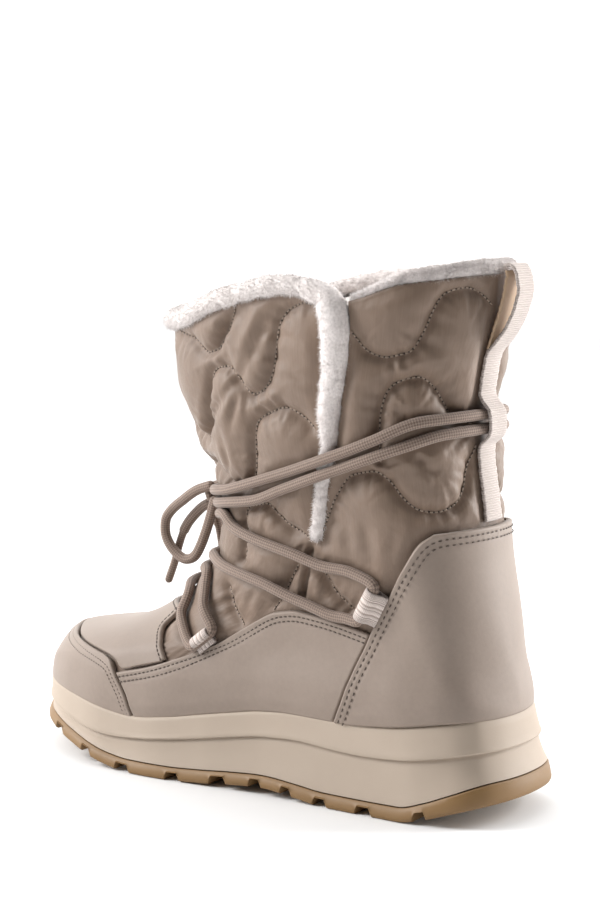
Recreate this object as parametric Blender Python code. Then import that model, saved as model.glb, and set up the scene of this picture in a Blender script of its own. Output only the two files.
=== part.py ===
"""Quilted winter boot, one left boot standing on its sole.

Frame: toe towards -Y, heel towards +Y, +X is the outer side, +Z is up, the floor is Z = 0.
Sizes in the tables are millimetres. Stations run along the sole from the heel's back to the toe.
"""
import math

import bmesh
import bpy
import numpy as np

MM = 0.001

# Driving sizes
SOLE_LENGTH = 272.0
GAP = 0.35
RECESS_GAP = 0.7
WALL = 2.6
PANEL_LIFT = 0.85
PANEL_THICK = 1.3
COUNTER_THICK = 1.5
NOTCH_DEPTH = 3.6
NOTCH_SLOPE = 1.3
MID_GROOVE_DEPTH = 2.2
INSOLE_GAP = 1.0
LACE_RADIUS = 2.4
WEB_THICK = 1.3
TAPE_HALF = 6.8
FUR_RADIUS = 4.6

# Sole outline seen from above: x of the outer and of the inner edge
OUTLINE = ("station", "outer", "inner"), (
    (0, 0.0, 0.0),
    (3, 19.0, -19.0),
    (10, 31.0, -31.0),
    (22, 38.0, -38.0),
    (45, 42.0, -41.0),
    (80, 42.0, -39.0),
    (115, 42.0, -38.5),
    (150, 45.0, -44.0),
    (180, 47.5, -50.0),
    (205, 46.5, -52.0),
    (230, 39.5, -50.0),
    (250, 28.0, -43.0),
    (264, 12.0, -31.0),
    (270, 0.5, -21.5),
    (272, -11.0, -11.0),
)

# Heights of the sole's side along it
SIDE = ("station", "floor", "outsole", "groove", "rim"), (
    (0, 11.0, 8.5, 31.5, 45.0),
    (7, 9.7, 9.0, 31.2, 45.0),
    (21, 6.0, 7.8, 29.6, 43.8),
    (33, 2.3, 6.8, 27.6, 41.8),
    (45, 0.0, 5.9, 26.0, 40.2),
    (66, 0.0, 5.7, 25.0, 38.6),
    (82, 0.0, 5.8, 25.7, 38.8),
    (98, 1.6, 5.6, 26.8, 39.0),
    (115, 3.2, 5.2, 26.0, 37.8),
    (132, 2.2, 5.4, 23.6, 35.0),
    (150, 0.7, 5.6, 20.6, 31.8),
    (166, 0.0, 5.6, 18.2, 28.8),
    (188, 0.0, 5.6, 15.8, 26.4),
    (200, 1.4, 5.3, 15.2, 27.2),
    (212, 3.8, 5.2, 15.9, 28.6),
    (229, 7.6, 5.2, 18.4, 30.6),
    (243, 10.4, 5.2, 21.0, 31.8),
    (257, 12.2, 5.2, 22.6, 32.6),
    (272, 13.4, 5.2, 23.6, 33.2),
)

# How far each level of the side lies inside the outline
FLARE = ("station", "groove", "band", "rim"), (
    (0, 6.2, 4.8, 9.0),
    (10, 5.8, 4.4, 8.4),
    (30, 4.6, 3.2, 6.0),
    (60, 4.0, 2.6, 4.6),
    (190, 3.6, 2.2, 4.2),
    (245, 2.6, 1.2, 2.9),
    (272, 2.0, 0.6, 2.2),
)

# Notches between the lugs, from heel to toe
NOTCHES = ("start", "end"), (
    (31.0, 37.5),
    (57.5, 66.0),
    (80.5, 88.0),
    (99.0, 105.5),
    (115.5, 122.5),
    (134.0, 143.0),
    (158.5, 166.5),
    (186.5, 195.5),
    (211.0, 218.5),
    (234.5, 242.5),
)

# Sections of the upper. Each is a closed loop in a tilted plane from a front point to a back point.
# share: 0 follows the sole outline scaled by fit, 1 is an egg of the half width given.
# nose and tail: part of the length that is rounded off. sag: how much of the rim's dip it keeps.
SECTIONS = ("v", "front_y", "front_z", "back_y", "back_z", "fit", "share", "half", "nose", "tail", "sag"), (
    (0.00, -131.8, 27.0, 124.6, 39.0, 0.860, 0.00, 40.0, 0.02, 0.02, 1.00),
    (0.06, -131.8, 33.2, 124.9, 45.0, 0.865, 0.00, 40.0, 0.02, 0.02, 1.00),
    (0.11, -131.0, 39.5, 124.9, 50.5, 0.885, 0.00, 40.0, 0.04, 0.03, 0.95),
    (0.16, -127.6, 47.0, 124.4, 56.5, 0.885, 0.04, 38.0, 0.10, 0.05, 0.80),
    (0.21, -118.5, 54.0, 123.2, 63.0, 0.860, 0.12, 36.5, 0.20, 0.07, 0.62),
    (0.26, -103.0, 57.6, 121.8, 70.5, 0.830, 0.30, 35.5, 0.30, 0.09, 0.45),
    (0.31, -85.0, 60.8, 120.4, 78.0, 0.810, 0.55, 35.0, 0.38, 0.11, 0.28),
    (0.36, -67.5, 66.2, 118.8, 86.5, 0.800, 0.80, 34.8, 0.43, 0.13, 0.12),
    (0.42, -52.0, 75.0, 117.0, 97.0, 0.800, 1.00, 34.8, 0.46, 0.15, 0.00),
    (0.49, -40.5, 88.0, 115.2, 109.0, 0.800, 1.00, 35.4, 0.48, 0.17, 0.00),
    (0.56, -32.5, 103.0, 113.6, 122.0, 0.800, 1.00, 36.8, 0.50, 0.20, 0.00),
    (0.64, -29.5, 119.0, 111.6, 137.0, 0.800, 1.00, 39.0, 0.50, 0.23, 0.00),
    (0.72, -31.5, 136.0, 109.2, 154.0, 0.800, 1.00, 41.2, 0.50, 0.26, 0.00),
    (0.80, -37.5, 154.0, 108.2, 173.0, 0.800, 1.00, 43.4, 0.50, 0.28, 0.00),
    (0.87, -43.5, 172.0, 110.8, 193.0, 0.800, 1.00, 45.2, 0.50, 0.30, 0.00),
    (0.94, -48.5, 190.0, 115.0, 213.0, 0.800, 1.00, 46.8, 0.50, 0.32, 0.00),
    (1.00, -51.5, 207.0, 118.0, 232.0, 0.800, 1.00, 48.0, 0.50, 0.34, 0.00),
)


# Hollow at the front of the ankle: how far the front lies back
HOLLOW = ("v", "back"), (
    (0.40, 0.0),
    (0.47, 2.5),
    (0.52, 5.5),
    (0.58, 7.0),
    (0.64, 6.5),
    (0.70, 5.0),
    (0.76, 2.5),
    (0.82, 0.0),
)


def columns(table):
    """A table's rows as one array for each named column."""
    names, rows = table
    return dict(zip(names, np.array(rows, float).T))


def curve(xs, ys, x):
    """Monotone cubic through the points of a table, read at x."""
    xs = np.asarray(xs, float)
    ys = np.asarray(ys, float)
    x = np.clip(np.asarray(x, float), xs[0], xs[-1])
    step = np.diff(xs)
    slope = np.diff(ys) / step
    tangent = np.zeros_like(ys)
    before = 2 * step[1:] + step[:-1]
    after = step[1:] + 2 * step[:-1]
    same = slope[:-1] * slope[1:] > 0
    left = np.where(same, slope[:-1], 1.0)
    right = np.where(same, slope[1:], 1.0)
    tangent[1:-1] = np.where(same, (before + after) / (before / left + after / right), 0.0)
    tangent[0] = slope[0]
    tangent[-1] = slope[-1]
    i = np.clip(np.searchsorted(xs, x, side="right") - 1, 0, len(step) - 1)
    h = step[i]
    t = (x - xs[i]) / h
    return (
        ys[i] * (1 + 2 * t) * (1 - t) ** 2
        + tangent[i] * h * t * (1 - t) ** 2
        + ys[i + 1] * t * t * (3 - 2 * t)
        + tangent[i + 1] * h * t * t * (t - 1)
    )


OUT = columns(OUTLINE)
SIDES = columns(SIDE)
FLARES = columns(FLARE)
NOTCH = columns(NOTCHES)
SECT = columns(SECTIONS)
HOLLOWS = columns(HOLLOW)


def turn_of(station):
    """Angle that runs evenly round a rounded end: 0 at the heel, pi at the toe."""
    return np.arccos(np.clip(1 - 2 * np.asarray(station, float) / SOLE_LENGTH, -1, 1))


def outline_x(turn):
    """Outer and inner edge of the sole at this turn."""
    at = turn_of(OUT["station"])
    return curve(at, OUT["outer"], turn), curve(at, OUT["inner"], turn)


def side_height(name, station):
    return curve(SIDES["station"], SIDES[name], station)


def flare(name, station):
    return curve(FLARES["station"], FLARES[name], station)


def sole_ring(stations, inset, height):
    """Closed ring round the sole: outer side heel to toe, then inner side toe to heel, moved inwards."""
    turn = turn_of(stations)
    outer, inner = outline_x(turn)
    y = SOLE_LENGTH / 2 - stations
    line = np.concatenate([np.stack([outer, y], 1), np.stack([inner, y], 1)[::-1]])
    along = np.roll(line, -1, 0) - np.roll(line, 1, 0)
    normal = np.stack([along[:, 1], -along[:, 0]], 1)
    normal /= np.linalg.norm(normal, axis=1)[:, None]
    both = np.concatenate([inset, inset[::-1]])[:, None]
    line = line + normal * both
    return np.column_stack([line, np.concatenate([height, height[::-1]])])


def cap(t):
    """Quarter of a round end: 0 at its tip, 1 where it meets the straight part."""
    t = np.clip(t, 0, 1)
    return np.sqrt(t * (2 - t))


def section_value(name, v):
    return curve(SECT["v"], SECT[name], v)


def upper_point(v, turn, side):
    """Outer face of the upper. v: 0 feather edge to 1 collar. turn: 0 front to pi back. side: +1 or -1."""
    v = np.asarray(v, float)
    part = (1 - np.cos(turn)) / 2
    front_y = section_value("front_y", v)
    back_y = section_value("back_y", v)
    front_z = section_value("front_z", v)
    back_z = section_value("back_z", v)
    share = section_value("share", v)
    outer, inner = outline_x(math.pi - turn)
    fit = section_value("fit", v)
    middle = (1 - share) * fit * (outer + inner) / 2
    half = (1 - share) * fit * (outer - inner) / 2 + share * section_value("half", v)
    round_off = cap(part / section_value("nose", v)) * cap((1 - part) / section_value("tail", v))
    half = half * (share * round_off + (1 - share) * np.where(share > 0, round_off ** (0.5), 1.0))
    near = np.clip((1.05 - turn) / 0.60, 0, 1)
    hollow = near * near * (3 - 2 * near) * curve(HOLLOWS["v"], HOLLOWS["back"], v)
    y = front_y + (back_y - front_y) * part + hollow
    station = SOLE_LENGTH * (1 - part)
    rim = side_height("rim", station)
    straight = SIDES["rim"][-1] + (SIDES["rim"][0] - SIDES["rim"][-1]) * part
    z = front_z + (back_z - front_z) * part + section_value("sag", v) * (rim - straight)
    return np.stack([middle + side * half, y, z + 0 * half], -1)


def upper_normal(v, turn, side):
    """Unit normal of the outer face, pointing out."""
    e = 2e-3
    vv = np.clip(v, 2 * e, 1 - 2 * e)
    tt = np.clip(turn, 2 * e, math.pi - 2 * e)
    along = upper_point(vv, tt + e, side) - upper_point(vv, tt - e, side)
    up = upper_point(vv + e, tt, side) - upper_point(vv - e, tt, side)
    n = np.cross(along, up) * np.asarray(side, float)[..., None]
    n = n / np.linalg.norm(n, axis=-1, keepdims=True)
    flat = (turn < 2 * e) | (turn > math.pi - 2 * e)
    n[..., 0] = np.where(flat, 0.0, n[..., 0])
    return n / np.linalg.norm(n, axis=-1, keepdims=True)


def skin(v, turn, side, lift):
    """Outer face of the upper moved out by lift."""
    v, turn, side = np.broadcast_arrays(np.asarray(v, float), np.asarray(turn, float), np.asarray(side, float))
    return upper_point(v, turn, side) + upper_normal(v, turn, side) * np.asarray(lift, float)[..., None]


# Mesh helpers

def paint(name, colour, rough):
    """One plain material."""
    mat = bpy.data.materials.new(name)
    mat.use_nodes = True
    bsdf = mat.node_tree.nodes["Principled BSDF"]
    bsdf.inputs["Base Color"].default_value = (*colour, 1.0)
    bsdf.inputs["Roughness"].default_value = rough
    return mat


def solid(name, points, faces, mat):
    """One closed object from points in millimetres and faces, normals turned outwards."""
    mesh = bpy.data.meshes.new(name)
    mesh.from_pydata([tuple(p) for p in np.asarray(points, float) * MM], [], [tuple(int(i) for i in f) for f in faces])
    work = bmesh.new()
    work.from_mesh(mesh)
    bmesh.ops.remove_doubles(work, verts=work.verts, dist=1e-7)
    bmesh.ops.recalc_face_normals(work, faces=work.faces)
    bmesh.ops.triangulate(work, faces=work.faces)
    work.to_mesh(mesh)
    work.free()
    mesh.materials.append(mat)
    obj = bpy.data.objects.new(name, mesh)
    bpy.context.scene.collection.objects.link(obj)
    return obj


def ladder(start, count, columns_between):
    """Faces that close a ring of 2 * count points by rungs. Points between the rails start at the second index."""
    faces = []
    last = 2 * count - 1
    inner = columns_between

    def rung(row, col):
        if col == 0:
            return start[0] + row
        if col == inner + 1:
            return start[0] + last - row
        return start[1] + row * inner + col - 1

    for row in range(count - 1):
        for col in range(inner + 1):
            faces.append((rung(row, col), rung(row, col + 1), rung(row + 1, col + 1), rung(row + 1, col)))
    for row in (0, count - 1):
        if inner:
            faces.append(tuple(rung(row, col) for col in range(inner + 2)))
    return faces


def ring_walls(first, count, levels):
    """Faces between stacked closed rings of the same count."""
    faces = []
    for level in range(levels - 1):
        a = first + level * count
        b = a + count
        for i in range(count):
            j = (i + 1) % count
            faces.append((a + i, a + j, b + j, b + i))
    return faces


def stacked(name, rings, mat, low=None, high=None):
    """Solid from rings stacked from the lowest to the last, closed by rungs at both ends.
    low and high: points between the rails of the first and last ring, one row for each rung."""
    count = len(rings[0])
    points = list(np.concatenate(rings))
    faces = ring_walls(0, count, len(rings))
    for ring_index, between in ((0, low), (len(rings) - 1, high)):
        at = len(points)
        inner = 0 if between is None else between.shape[1]
        if inner:
            points.extend(between.reshape(-1, 3))
        rungs = ladder((ring_index * count, at), count // 2, inner)
        if inner:
            rungs = rungs[:-2]
            for row in (0, count // 2 - 1):
                rungs.append((ring_index * count + row, *(at + row * inner + c for c in range(inner)), ring_index * count + count - 1 - row))
        faces.extend(rungs)
    return solid(name, points, faces, mat)


def shell(name, outer, inner, mat, closed, keep=None):
    """Wall between two grids of points [row, column]. closed joins the last column to the first.
    keep: which cells exist; the wall is closed all round the cells that do."""
    rows, cols = outer.shape[:2]
    cells = cols if closed else cols - 1
    if keep is None:
        keep = np.ones((rows - 1, cells), bool)
    points = np.concatenate([outer.reshape(-1, 3), inner.reshape(-1, 3)])
    back = rows * cols
    faces = []

    def index(row, col):
        return row * cols + col % cols

    def there(row, col):
        if row < 0 or row >= rows - 1:
            return False
        if closed:
            return keep[row, col % cells]
        return 0 <= col < cells and keep[row, col]

    for row in range(rows - 1):
        for col in range(cells):
            if not keep[row, col]:
                continue
            a, b = index(row, col), index(row, col + 1)
            c, d = index(row + 1, col + 1), index(row + 1, col)
            faces.append((a, b, c, d))
            faces.append((back + d, back + c, back + b, back + a))
            for other, p, q in (((row - 1, col), a, b), ((row, col + 1), b, c), ((row + 1, col), c, d), ((row, col - 1), d, a)):
                if not there(*other):
                    faces.append((q, p, back + p, back + q))
    used = np.unique([i for f in faces for i in f])
    place = np.full(len(points), -1)
    place[used] = np.arange(len(used))
    return solid(name, points[used], [[place[i] for i in f] for f in faces], mat)


# Sole

def even_stations(count):
    """Stations that run evenly round both rounded ends."""
    turn = np.linspace(0.07, math.pi - 0.07, count)
    return SOLE_LENGTH * (1 - np.cos(turn)) / 2


def notch_share(stations):
    """1 inside a notch and 0 outside, with the notch's sloping ends."""
    share = np.zeros_like(stations)
    for start, end in zip(NOTCH["start"], NOTCH["end"]):
        inside = np.clip(np.minimum(stations - start, end - stations) / NOTCH_SLOPE, 0, 1)
        share = np.maximum(share, inside)
    return share


def build_outsole(mat):
    """Rubber plate on the rocker line with notches cut up from its edge and along its middle."""
    edges = [NOTCH["start"], NOTCH["start"] + NOTCH_SLOPE, NOTCH["end"] - NOTCH_SLOPE, NOTCH["end"]]
    edges = np.sort(np.concatenate(edges))
    free = even_stations(26)
    free = free[np.abs(free[:, None] - edges[None]).min(1) > 1.6]
    flats = np.array([45.0, 82.0 - 3.0, 168.0, 185.0])
    stations = np.unique(np.round(np.concatenate([edges, free, flats]), 3))
    floor = side_height("floor", stations)
    floor[(stations >= 44.9) & (stations <= 82.1)] = 0.0
    floor[(stations >= 165.9) & (stations <= 188.1)] = 0.0
    thick = side_height("outsole", stations)
    cut = notch_share(stations)
    one = np.ones_like(stations)
    rings = [
        sole_ring(stations, 1.0 * one, floor + NOTCH_DEPTH * cut),
        sole_ring(stations, 0.0 * one, floor + 1.9 + (NOTCH_DEPTH - 1.6) * cut),
        sole_ring(stations, 1.5 * one, floor + thick),
    ]
    depth = ((0.19, NOTCH_DEPTH), (0.215, 0.0), (0.385, 0.0), (0.405, MID_GROOVE_DEPTH), (0.595, MID_GROOVE_DEPTH),
             (0.615, 0.0), (0.785, 0.0), (0.81, NOTCH_DEPTH))
    count = len(stations)
    rail_a = rings[0][:count]
    rail_b = rings[0][count:][::-1]
    between = np.stack([rail_a + (rail_b - rail_a) * t for t, _ in depth], 1)
    for i, (_, deep) in enumerate(depth):
        between[:, i, 2] = floor + deep * cut
    return stacked("outsole", rings, mat, low=between)


def upper_ring(v, turns, lift):
    """Ring of the upper in the same order as a sole ring."""
    outer = skin(v, turns, 1.0, lift + 0 * turns)
    inner = skin(v, turns, -1.0, lift + 0 * turns)
    return np.concatenate([outer, inner[::-1]])


def build_midsole(mat):
    """Foam cup: flared lower band, groove, upper band, rim and the recess that takes the upper."""
    stations = even_stations(36)
    one = np.ones_like(stations)
    floor = side_height("floor", stations) + side_height("outsole", stations)
    groove = side_height("groove", stations)
    rim = side_height("rim", stations)
    turns = math.pi - turn_of(stations)
    lip = upper_ring(0.06, turns, RECESS_GAP)
    bed = upper_ring(0.0, turns, RECESS_GAP)
    bed[:, 2] -= 2.5 * GAP
    rings = [
        sole_ring(stations, 1.8 * one, floor + GAP),
        sole_ring(stations, flare("groove", stations), groove - 1.2),
        sole_ring(stations, flare("groove", stations) + 0.7, groove - 0.2),
        sole_ring(stations, flare("band", stations), groove + 1.0),
        sole_ring(stations, flare("band", stations) + 0.2, groove + 0.5 * (rim - groove)),
        sole_ring(stations, flare("rim", stations) - 0.8, rim - 1.4),
        sole_ring(stations, flare("rim", stations) + 0.5, rim - 0.1),
        lip,
        bed,
    ]
    return stacked("midsole", rings, mat)


def build_insole(mat):
    """Footbed on the floor of the recess, inside the upper's wall."""
    stations = even_stations(26)
    turns = math.pi - turn_of(stations)
    low = upper_ring(0.0, turns, -WALL - INSOLE_GAP)
    low[:, 2] += 0.1
    top = upper_ring(0.04, turns, -WALL - INSOLE_GAP - 0.3)
    return stacked("insole", [low, top], mat)


# Upper

# Slit on each side: turn of its middle and its width along the height
SLIT = ("v", "turn", "width"), (
    (0.58, 1.650, 6.2),
    (0.66, 1.712, 6.0),
    (0.72, 1.775, 6.2),
    (0.77, 1.855, 7.6),
    (0.83, 1.895, 10.6),
    (0.91, 1.940, 12.0),
    (0.96, 1.938, 14.0),
    (1.00, 1.915, 15.5),
)
SLITS = columns(SLIT)
SLIT_FOOT = 0.58


def slit_turns(v):
    """Turn of the front and of the rear edge of the slit at this height."""
    middle = curve(SLITS["v"], SLITS["turn"], v)
    width = curve(SLITS["v"], SLITS["width"], v)
    e = 1e-3
    per_turn = np.linalg.norm(upper_point(v, middle + e, 1.0) - upper_point(v, middle - e, 1.0), axis=-1) / (2 * e)
    return middle - width / 2 / per_turn, middle + width / 2 / per_turn


# How the collar's edge rises over its plane, along the turn
COLLAR = ("turn", "rise"), (
    (0.00, 0.0),
    (0.70, -4.0),
    (1.20, 2.0),
    (1.55, 4.0),
    (1.80, 0.0),
    (2.00, -4.0),
    (2.35, 0.0),
    (3.14160, 0.0),
)
RISE = columns(COLLAR)


def collar_rise(v, turn):
    """Height added near the collar."""
    near = np.clip((np.asarray(v, float) - 0.80) / 0.20, 0, 1)
    return near * near * (3 - 2 * near) * curve(RISE["turn"], RISE["rise"], turn)


FRONT_COLS = 9
REAR_COLS = 7


def upper_turns(v):
    """Turns of one side's grid columns: front part, slit, rear part."""
    first, second = slit_turns(v)
    front = np.linspace(0, 1, FRONT_COLS + 1) * first
    rear = second + (math.pi - second) * np.linspace(0, 1, REAR_COLS + 1)
    return np.concatenate([front, rear])


def build_upper(mat):
    """One hollow wall, open at the collar, underneath and along both slits."""
    levels = np.array([0.0, 0.06, 0.11, 0.16, 0.20, 0.24, 0.285, 0.335, 0.39, 0.45, 0.515, 0.58, 0.65, 0.72, 0.79, 0.86, 0.93, 1.0])
    per_side = FRONT_COLS + REAR_COLS + 2
    outer = np.zeros((len(levels), 2 * per_side - 2, 3))
    inner = np.zeros_like(outer)
    for i, v in enumerate(levels):
        turns = upper_turns(v)
        for target, lift in ((outer, 0.0), (inner, -WALL)):
            a = skin(v, turns, 1.0, lift + 0 * turns)
            b = skin(v, turns, -1.0, lift + 0 * turns)
            a[:, 2] += collar_rise(v, turns)
            b[:, 2] += collar_rise(v, turns)
            target[i] = np.concatenate([a, b[1:-1][::-1]])
    keep = np.ones((len(levels) - 1, 2 * per_side - 2), bool)
    open_rows = np.where(levels[:-1] >= SLIT_FOOT - 1e-6)[0]
    keep[open_rows, FRONT_COLS] = False
    keep[open_rows, 2 * per_side - 2 - FRONT_COLS - 1] = False
    return shell("upper", outer, inner, mat, True, keep)


# Leather overlays, drawn on the upper's own face

# Front edge of the heel counter, from the rim up, and the height of its top edge
COUNTER_EDGE = ("v", "turn"), (
    (0.066, 2.062),
    (0.150, 2.100),
    (0.217, 2.120),
    (0.334, 2.128),
    (0.451, 2.234),
    (0.516, 2.343),
    (0.558, 2.446),
    (0.576, 2.560),
)
# Rear edge of the toe cap, from the rim up
CAP_EDGE = ("v", "turn"), (
    (0.066, 1.188),
    (0.119, 1.156),
    (0.153, 1.108),
    (0.186, 1.036),
    (0.200, 0.995),
    (0.208, 0.930),
)
# Top edge of the side panel
SIDE_EDGE = ("turn", "v"), (
    (1.000, 0.160),
    (1.078, 0.180),
    (1.241, 0.226),
    (1.320, 0.281),
    (1.380, 0.360),
    (1.500, 0.405),
    (1.598, 0.408),
    (1.713, 0.398),
    (1.907, 0.374),
    (2.140, 0.341),
)
# Vamp between the cap, the side panels and the throat
VAMP_EDGE = ("turn", "low", "high"), (
    (0.000, 0.2115, 0.425),
    (0.300, 0.2115, 0.420),
    (0.640, 0.2115, 0.406),
    (0.793, 0.2115, 0.348),
    (0.930, 0.2115, 0.318),
    (1.005, 0.2055, 0.302),
    (1.085, 0.1875, 0.281),
    (1.150, 0.2055, 0.263),
    (1.225, 0.2270, 0.238),
)
COUNTERS = columns(COUNTER_EDGE)
CAPS = columns(CAP_EDGE)
SIDE_TOP = columns(SIDE_EDGE)
VAMPS = columns(VAMP_EDGE)
RIM_V = 0.066
EDGE_TURN = 0.005
EDGE_V = 0.003


def plate(name, v, turn, side, thick, mat):
    """Leather of even thickness over a grid of chart positions."""
    low = skin(v, turn, side, PANEL_LIFT + 0 * v)
    high = skin(v, turn, side, PANEL_LIFT + thick + 0 * v)
    return shell(name, high, low, mat, False)


def both_sides(turns):
    """Columns that run through the middle line: turns of one side, then the other side's."""
    return np.concatenate([turns, turns[:-1][::-1]]), np.concatenate([np.ones(len(turns)), -np.ones(len(turns) - 1)])


def build_counter(mat):
    """Heel counter: rows from the rim to the top edge, each from one front edge round the back to the other."""
    rows = np.concatenate([np.linspace(RIM_V, 0.43, 5), [0.48, 0.525, 0.556, 0.576]])
    grid_t, grid_s = [], []
    for v in rows:
        first = curve(COUNTERS["v"], COUNTERS["turn"], v)
        turns, sides = both_sides(first + (math.pi - first) * np.linspace(0, 1, 11) ** 0.85)
        grid_t.append(turns)
        grid_s.append(sides)
    turn = np.array(grid_t)
    return plate("heel_counter", np.repeat(rows[:, None], turn.shape[1], 1), turn, np.array(grid_s), COUNTER_THICK, mat)


def build_cap(mat):
    """Toe cap: rows from the rim up, each from side to side over the toe."""
    rows = np.array([RIM_V, 0.095, 0.125, 0.155, 0.182, 0.198, 0.208])
    grid_t, grid_s = [], []
    for v in rows:
        last = curve(CAPS["v"], CAPS["turn"], v)
        turns, sides = both_sides(last * np.linspace(1, 0, 9))
        grid_t.append(turns)
        grid_s.append(sides)
    turn = np.array(grid_t)
    return plate("toe_cap", np.repeat(rows[:, None], turn.shape[1], 1), turn, np.array(grid_s), PANEL_THICK, mat)


def build_vamp(mat):
    """Vamp: columns across the foot, each from the cap's edge to the throat."""
    turns, sides = both_sides(1.225 * np.linspace(1, 0, 9))
    low = curve(VAMPS["turn"], VAMPS["low"], turns)
    high = curve(VAMPS["turn"], VAMPS["high"], turns)
    part = np.linspace(0, 1, 7)[:, None]
    v = low + (high - low) * part
    return plate("vamp", v, np.repeat(turns[None], 7, 0), np.repeat(sides[None], 7, 0), PANEL_THICK, mat)


def build_side(name, side, mat):
    """Side panel between cap and counter: columns along the foot, each from the rim to the top edge."""
    across = np.linspace(0, 1, 15)
    top = np.full(15, 0.3)
    for _ in range(40):
        first = curve(CAPS["v"], CAPS["turn"], top) + EDGE_TURN
        last = curve(COUNTERS["v"], COUNTERS["turn"], top) - EDGE_TURN
        top = 0.5 * top + 0.5 * curve(SIDE_TOP["turn"], SIDE_TOP["v"], first + (last - first) * across)
    part = np.linspace(0, 1, 7)[:, None]
    v = RIM_V + (top - RIM_V) * part
    first = curve(CAPS["v"], CAPS["turn"], v) + EDGE_TURN
    last = curve(COUNTERS["v"], COUNTERS["turn"], v) - EDGE_TURN
    turn = first + (last - first) * across
    return plate(name, v, turn, side + 0 * v, PANEL_THICK, mat)


# Webbing

def strip(name, inner, outer, half, mat):
    """Band of even width: a line of inner points and of outer points in the middle plane, moved to both sides."""
    left = np.array([-half, 0, 0])
    low = np.stack([inner + left, inner - left], 1)
    high = np.stack([outer + left, outer - left], 1)
    return shell(name, high, low, mat, False)


# Tape up the back: how far its inner face stands off the upper
TAPE = ("v", "lift"), (
    (0.586, 0.6),
    (0.640, 0.6),
    (0.700, 0.6),
    (0.738, 0.7),
    (0.748, 2.2),
    (0.756, 4.8),
    (0.765, 6.0),
    (0.784, 6.2),
    (0.803, 6.0),
    (0.812, 4.8),
    (0.820, 2.2),
    (0.830, 0.7),
    (0.860, 0.6),
    (0.885, 0.7),
    (0.905, 2.6),
    (0.930, 6.2),
    (0.960, 9.0),
    (0.985, 10.0),
)
TAPES = columns(TAPE)
# Top of the pull loop, in the middle plane
LOOP_TOP = ("y", "z"), (
    (126.6, 231.5),
    (124.8, 235.2),
    (122.6, 236.6),
)
LOOP_TOPS = columns(LOOP_TOP)
# Tan backing of the pull loop
BACKING = ("v", "lift"), (
    (0.897, 0.6),
    (0.920, 1.2),
    (0.945, 2.6),
    (0.970, 4.0),
    (1.000, 4.6),
)
BACKINGS = columns(BACKING)


def thicken(line, thick):
    """The line moved outwards, away from the boot, in the middle plane."""
    along = np.gradient(line, axis=0)
    normal = np.stack([0 * along[:, 0], along[:, 2], -along[:, 1]], 1)
    normal /= np.linalg.norm(normal, axis=1)[:, None]
    return line + normal * thick


def middle_line(v, lift):
    return skin(v, math.pi + 0 * v, 1.0, lift) * np.array([0.0, 1.0, 1.0])


def build_tape(mat):
    """Tape from the counter to the top of the pull loop, standing off where the lace runs under it."""
    line = middle_line(TAPES["v"], TAPES["lift"])
    top = np.stack([0 * LOOP_TOPS["y"], LOOP_TOPS["y"], LOOP_TOPS["z"]], 1)
    line = np.concatenate([line, top])
    return strip("back_tape", line, thicken(line, WEB_THICK), TAPE_HALF, mat)


def build_backing(mat):
    """Tan leather on the inner side of the pull loop."""
    line = middle_line(BACKINGS["v"], BACKINGS["lift"])
    line = np.concatenate([line, line[-1] + np.array([[0.0, -0.2, 2.6]])])
    return strip("pull_backing", line, thicken(line, 1.0), TAPE_HALF - 0.4, mat)


# Lace loops: chart positions of the sewn end and of the free end, and the width of the webbing
LOOPS = ("sewn_v", "sewn_turn", "free_v", "free_turn", "width"), (
    (0.4065, 2.150, 0.437, 2.040, 15.0),
    (0.3145, 1.301, 0.3580, 1.145, 8.2),
)
LOOP = columns(LOOPS)
EYE = LACE_RADIUS + 0.7


def loop_frame(row, side):
    """Sewn end, directions ahead, out and across, and length of a lace loop."""
    sewn = skin(LOOP["sewn_v"][row], LOOP["sewn_turn"][row], side, 0.9)
    free = skin(LOOP["free_v"][row], LOOP["free_turn"][row], side, 0.9)
    out = upper_normal(LOOP["free_v"][row][None], LOOP["free_turn"][row][None], np.array([side]))[0]
    ahead = free - sewn
    ahead = ahead - out * (ahead @ out)
    length = np.linalg.norm(ahead)
    ahead = ahead / length
    return sewn, ahead, out, np.cross(out, ahead), length


def loop_eye(row, side):
    """Both ends of the lace's way through a loop."""
    sewn, ahead, out, across, length = loop_frame(row, side)
    big = EYE + WEB_THICK
    middle = sewn + ahead * (length - big) + out * big
    reach = LOOP["width"][row] / 2 + 4.8
    return middle - across * reach, middle + across * reach


def build_loop(name, row, side, mat):
    """Folded webbing: flat where it is sewn, round an eye at its free end, extruded over its width."""
    sewn, ahead, out, across, length = loop_frame(row, side)
    big = EYE + WEB_THICK
    count = 12
    angle = np.radians(np.linspace(-90, 150, count - 2))
    outer = np.stack([length - big + big * np.cos(angle), big + big * np.sin(angle)], 1)
    outer = np.concatenate([[[0.0, 0.0]], outer, [[0.0, 2 * WEB_THICK + 0.3]]])
    angle = np.radians(np.linspace(-115, 215, count))
    hole = np.stack([length - big + EYE * np.cos(angle), big + EYE * np.sin(angle)], 1)
    half = LOOP["width"][row] / 2
    points = []
    for line in (outer, hole):
        for end in (-half, half):
            points.append(sewn + line[:, :1] * ahead + line[:, 1:] * out + end * across)
    a, b, c, d = (np.arange(count) + k * count for k in range(4))
    faces = []
    for i in range(count):
        j = (i + 1) % count
        faces += [(a[i], a[j], b[j], b[i]), (d[i], d[j], c[j], c[i]), (a[j], a[i], c[i], c[j]), (b[i], b[j], d[j], d[i])]
    return solid(name, np.concatenate(points), faces, mat)


# Fur

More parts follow.
